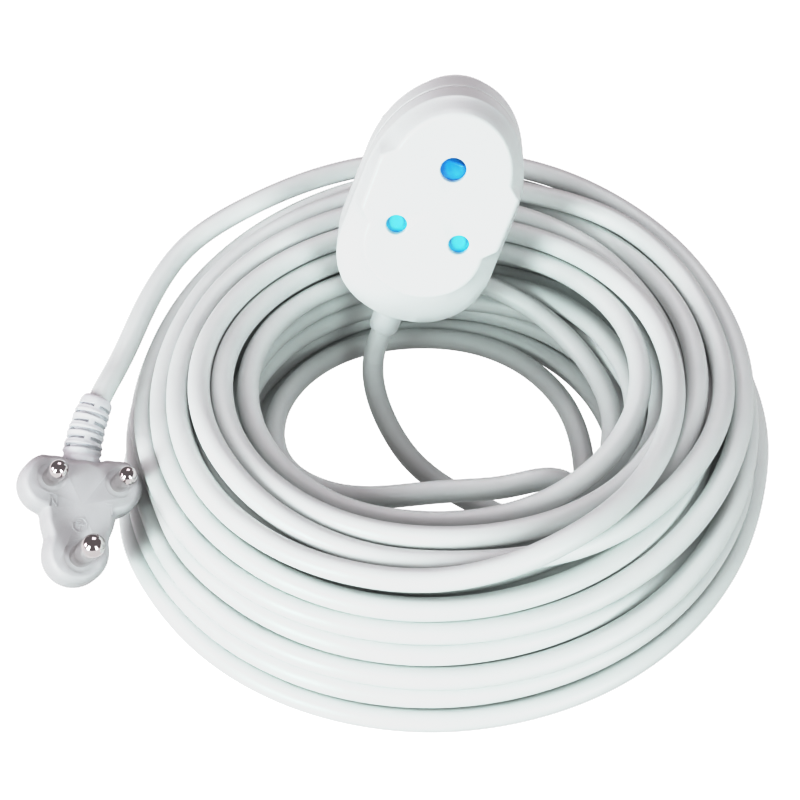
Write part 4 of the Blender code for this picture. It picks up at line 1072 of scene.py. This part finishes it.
# ================= stage, light and camera =================
def build_stage():
    me = bpy.data.meshes.new("studio_floor")
    s = 4.0
    me.from_pydata([(-s, -s, -0.0003), (s, -s, -0.0003), (s, s, -0.0003), (-s, s, -0.0003)], [], [(0, 1, 2, 3)])
    ob = bpy.data.objects.new("studio_floor", me)
    bpy.context.scene.collection.objects.link(ob)
    m = bpy.data.materials.new("studio_floor")
    m.use_nodes = True
    nt = m.node_tree
    b = nt.nodes["Principled BSDF"]
    v = object_coords(nt, 1.0)
    nt.links.new(mix_color(nt, noise(nt, v, 6.0), FLOOR_DARK, tuple(c * 0.95 for c in FLOOR_DARK)), b.inputs["Base Color"])
    b.inputs["Roughness"].default_value = 0.9
    b.inputs["Specular IOR Level"].default_value = 0.0
    em = nt.nodes.new("ShaderNodeEmission")
    em.inputs["Color"].default_value = (1, 1, 1, 1)
    em.inputs["Strength"].default_value = FLOOR_GLOW
    lit = nt.nodes.new("ShaderNodeBsdfDiffuse")
    lit.inputs["Color"].default_value = (FLOOR_LIT, FLOOR_LIT, FLOOR_LIT, 1)
    add = nt.nodes.new("ShaderNodeAddShader")
    lp = nt.nodes.new("ShaderNodeLightPath")
    gl = nt.nodes.new("ShaderNodeMath")
    gl.operation = "MAXIMUM"
    nt.links.new(lp.outputs["Is Camera Ray"], gl.inputs[0])
    nt.links.new(lp.outputs["Is Glossy Ray"], gl.inputs[1])
    mx = nt.nodes.new("ShaderNodeMixShader")
    st = nt.nodes.new("ShaderNodeMath")
    st.operation = "MULTIPLY_ADD"
    nt.links.new(lp.outputs["Is Camera Ray"], st.inputs[0])
    st.inputs[1].default_value = 0.95
    st.inputs[2].default_value = FLOOR_GLOW
    nt.links.new(st.outputs["Value"], em.inputs["Strength"])
    nt.links.new(lit.outputs["BSDF"], add.inputs[0])
    nt.links.new(em.outputs["Emission"], add.inputs[1])
    nt.links.new(gl.outputs["Value"], mx.inputs["Fac"])
    nt.links.new(b.outputs["BSDF"], mx.inputs[1])
    nt.links.new(add.outputs["Shader"], mx.inputs[2])
    nt.links.new(mx.outputs["Shader"], nt.nodes["Material Output"].inputs["Surface"])
    me.materials.append(m)


def area(name, loc, target, size, power, color=(1, 1, 1), size_y=None):
    ld = bpy.data.lights.new(name, "AREA")
    ld.shape = "RECTANGLE"
    ld.size = size
    ld.size_y = size_y or size
    ld.energy = power
    ld.color = color
    ob = bpy.data.objects.new(name, ld)
    bpy.context.scene.collection.objects.link(ob)
    ob.location = loc
    ob.rotation_mode = "QUATERNION"
    ob.rotation_quaternion = (Vector(target) - Vector(loc)).to_track_quat("-Z", "Y")
    return ob


FLOOR_GLOW = 0.86
FLOOR_LIT = 0.14
FLOOR_DARK = (0.10, 0.085, 0.08)
build_stage()
world = bpy.data.worlds.new("studio") if bpy.context.scene.world is None else bpy.context.scene.world
bpy.context.scene.world = world
world.use_nodes = True
wt = world.node_tree
bg = wt.nodes["Background"]
bg.inputs["Color"].default_value = (1.0, 0.89, 0.93, 1)
bg.inputs["Strength"].default_value = AMBIENT
dark = wt.nodes.new("ShaderNodeBackground")
dark.inputs["Color"].default_value = (0.55, 0.50, 0.52, 1)
dark.inputs["Strength"].default_value = 0.42
wlp = wt.nodes.new("ShaderNodeLightPath")
wmx = wt.nodes.new("ShaderNodeMixShader")
wt.links.new(wlp.outputs["Is Glossy Ray"], wmx.inputs["Fac"])
wt.links.new(bg.outputs["Background"], wmx.inputs[1])
wt.links.new(dark.outputs["Background"], wmx.inputs[2])
wt.links.new(wmx.outputs["Shader"], wt.nodes["World Output"].inputs["Surface"])


def aim(az, el, dist, target=(0, 0, 0.05)):
    a, e = math.radians(az), math.radians(el)
    return (target[0] + dist * math.sin(a) * math.cos(e), target[1] - dist * math.cos(a) * math.cos(e), target[2] + dist * math.sin(e))


for name, az, el, size, power in LIGHTS:
    area(name, aim(az, el, 1.3), (0, 0, 0.05), size, power, (1.0, 0.90, 0.955) if name in ("top_back", "side_left") else (0.905, 1.0, 0.985))

E, DIST, FPX, TX, TY, ROLL = 47.0, 782.18, 1872.0, -13.054, 39.886, -2.5
ce, se = math.cos(math.radians(E)), math.sin(math.radians(E))
fwd = Vector((0, ce, -se))
right = Vector((1, 0, 0))
up = right.cross(fwd)
cr, sr = math.cos(math.radians(ROLL)), math.sin(math.radians(ROLL))
right, up = right * cr + up * sr, up * cr - right * sr
cam_data = bpy.data.cameras.new("camera")
cam = bpy.data.objects.new("camera", cam_data)
bpy.context.scene.collection.objects.link(cam)
rot = Matrix((right, up, -fwd)).transposed().to_4x4()
rot.translation = (Vector((TX, TY, 0)) - fwd * DIST + SHIFT) * MM
cam.matrix_world = rot
cam_data.sensor_width = 36.0
cam_data.sensor_fit = "HORIZONTAL"
cam_data.lens = 36.0 * FPX / 800.0
cam_data.clip_start = 0.01
cam_data.clip_end = 20.0
bpy.context.scene.camera = cam
bpy.context.scene.view_settings.view_transform = "Standard"
bpy.context.scene.view_settings.look = "None"
bpy.context.scene.view_settings.exposure = 0.0
bpy.context.scene.view_settings.use_curve_mapping = True
tone = bpy.context.scene.view_settings.curve_mapping
tone.clip_max_x = tone.clip_max_y = 2.0
tone.use_clip = False
points = tone.curves[3].points
points[0].location = TONE[0]
points[1].location = TONE[-1]
for x, y in TONE[1:-1]:
    points.new(x, y)
for q in points:
    q.handle_type = "AUTO_CLAMPED"
tone.update()
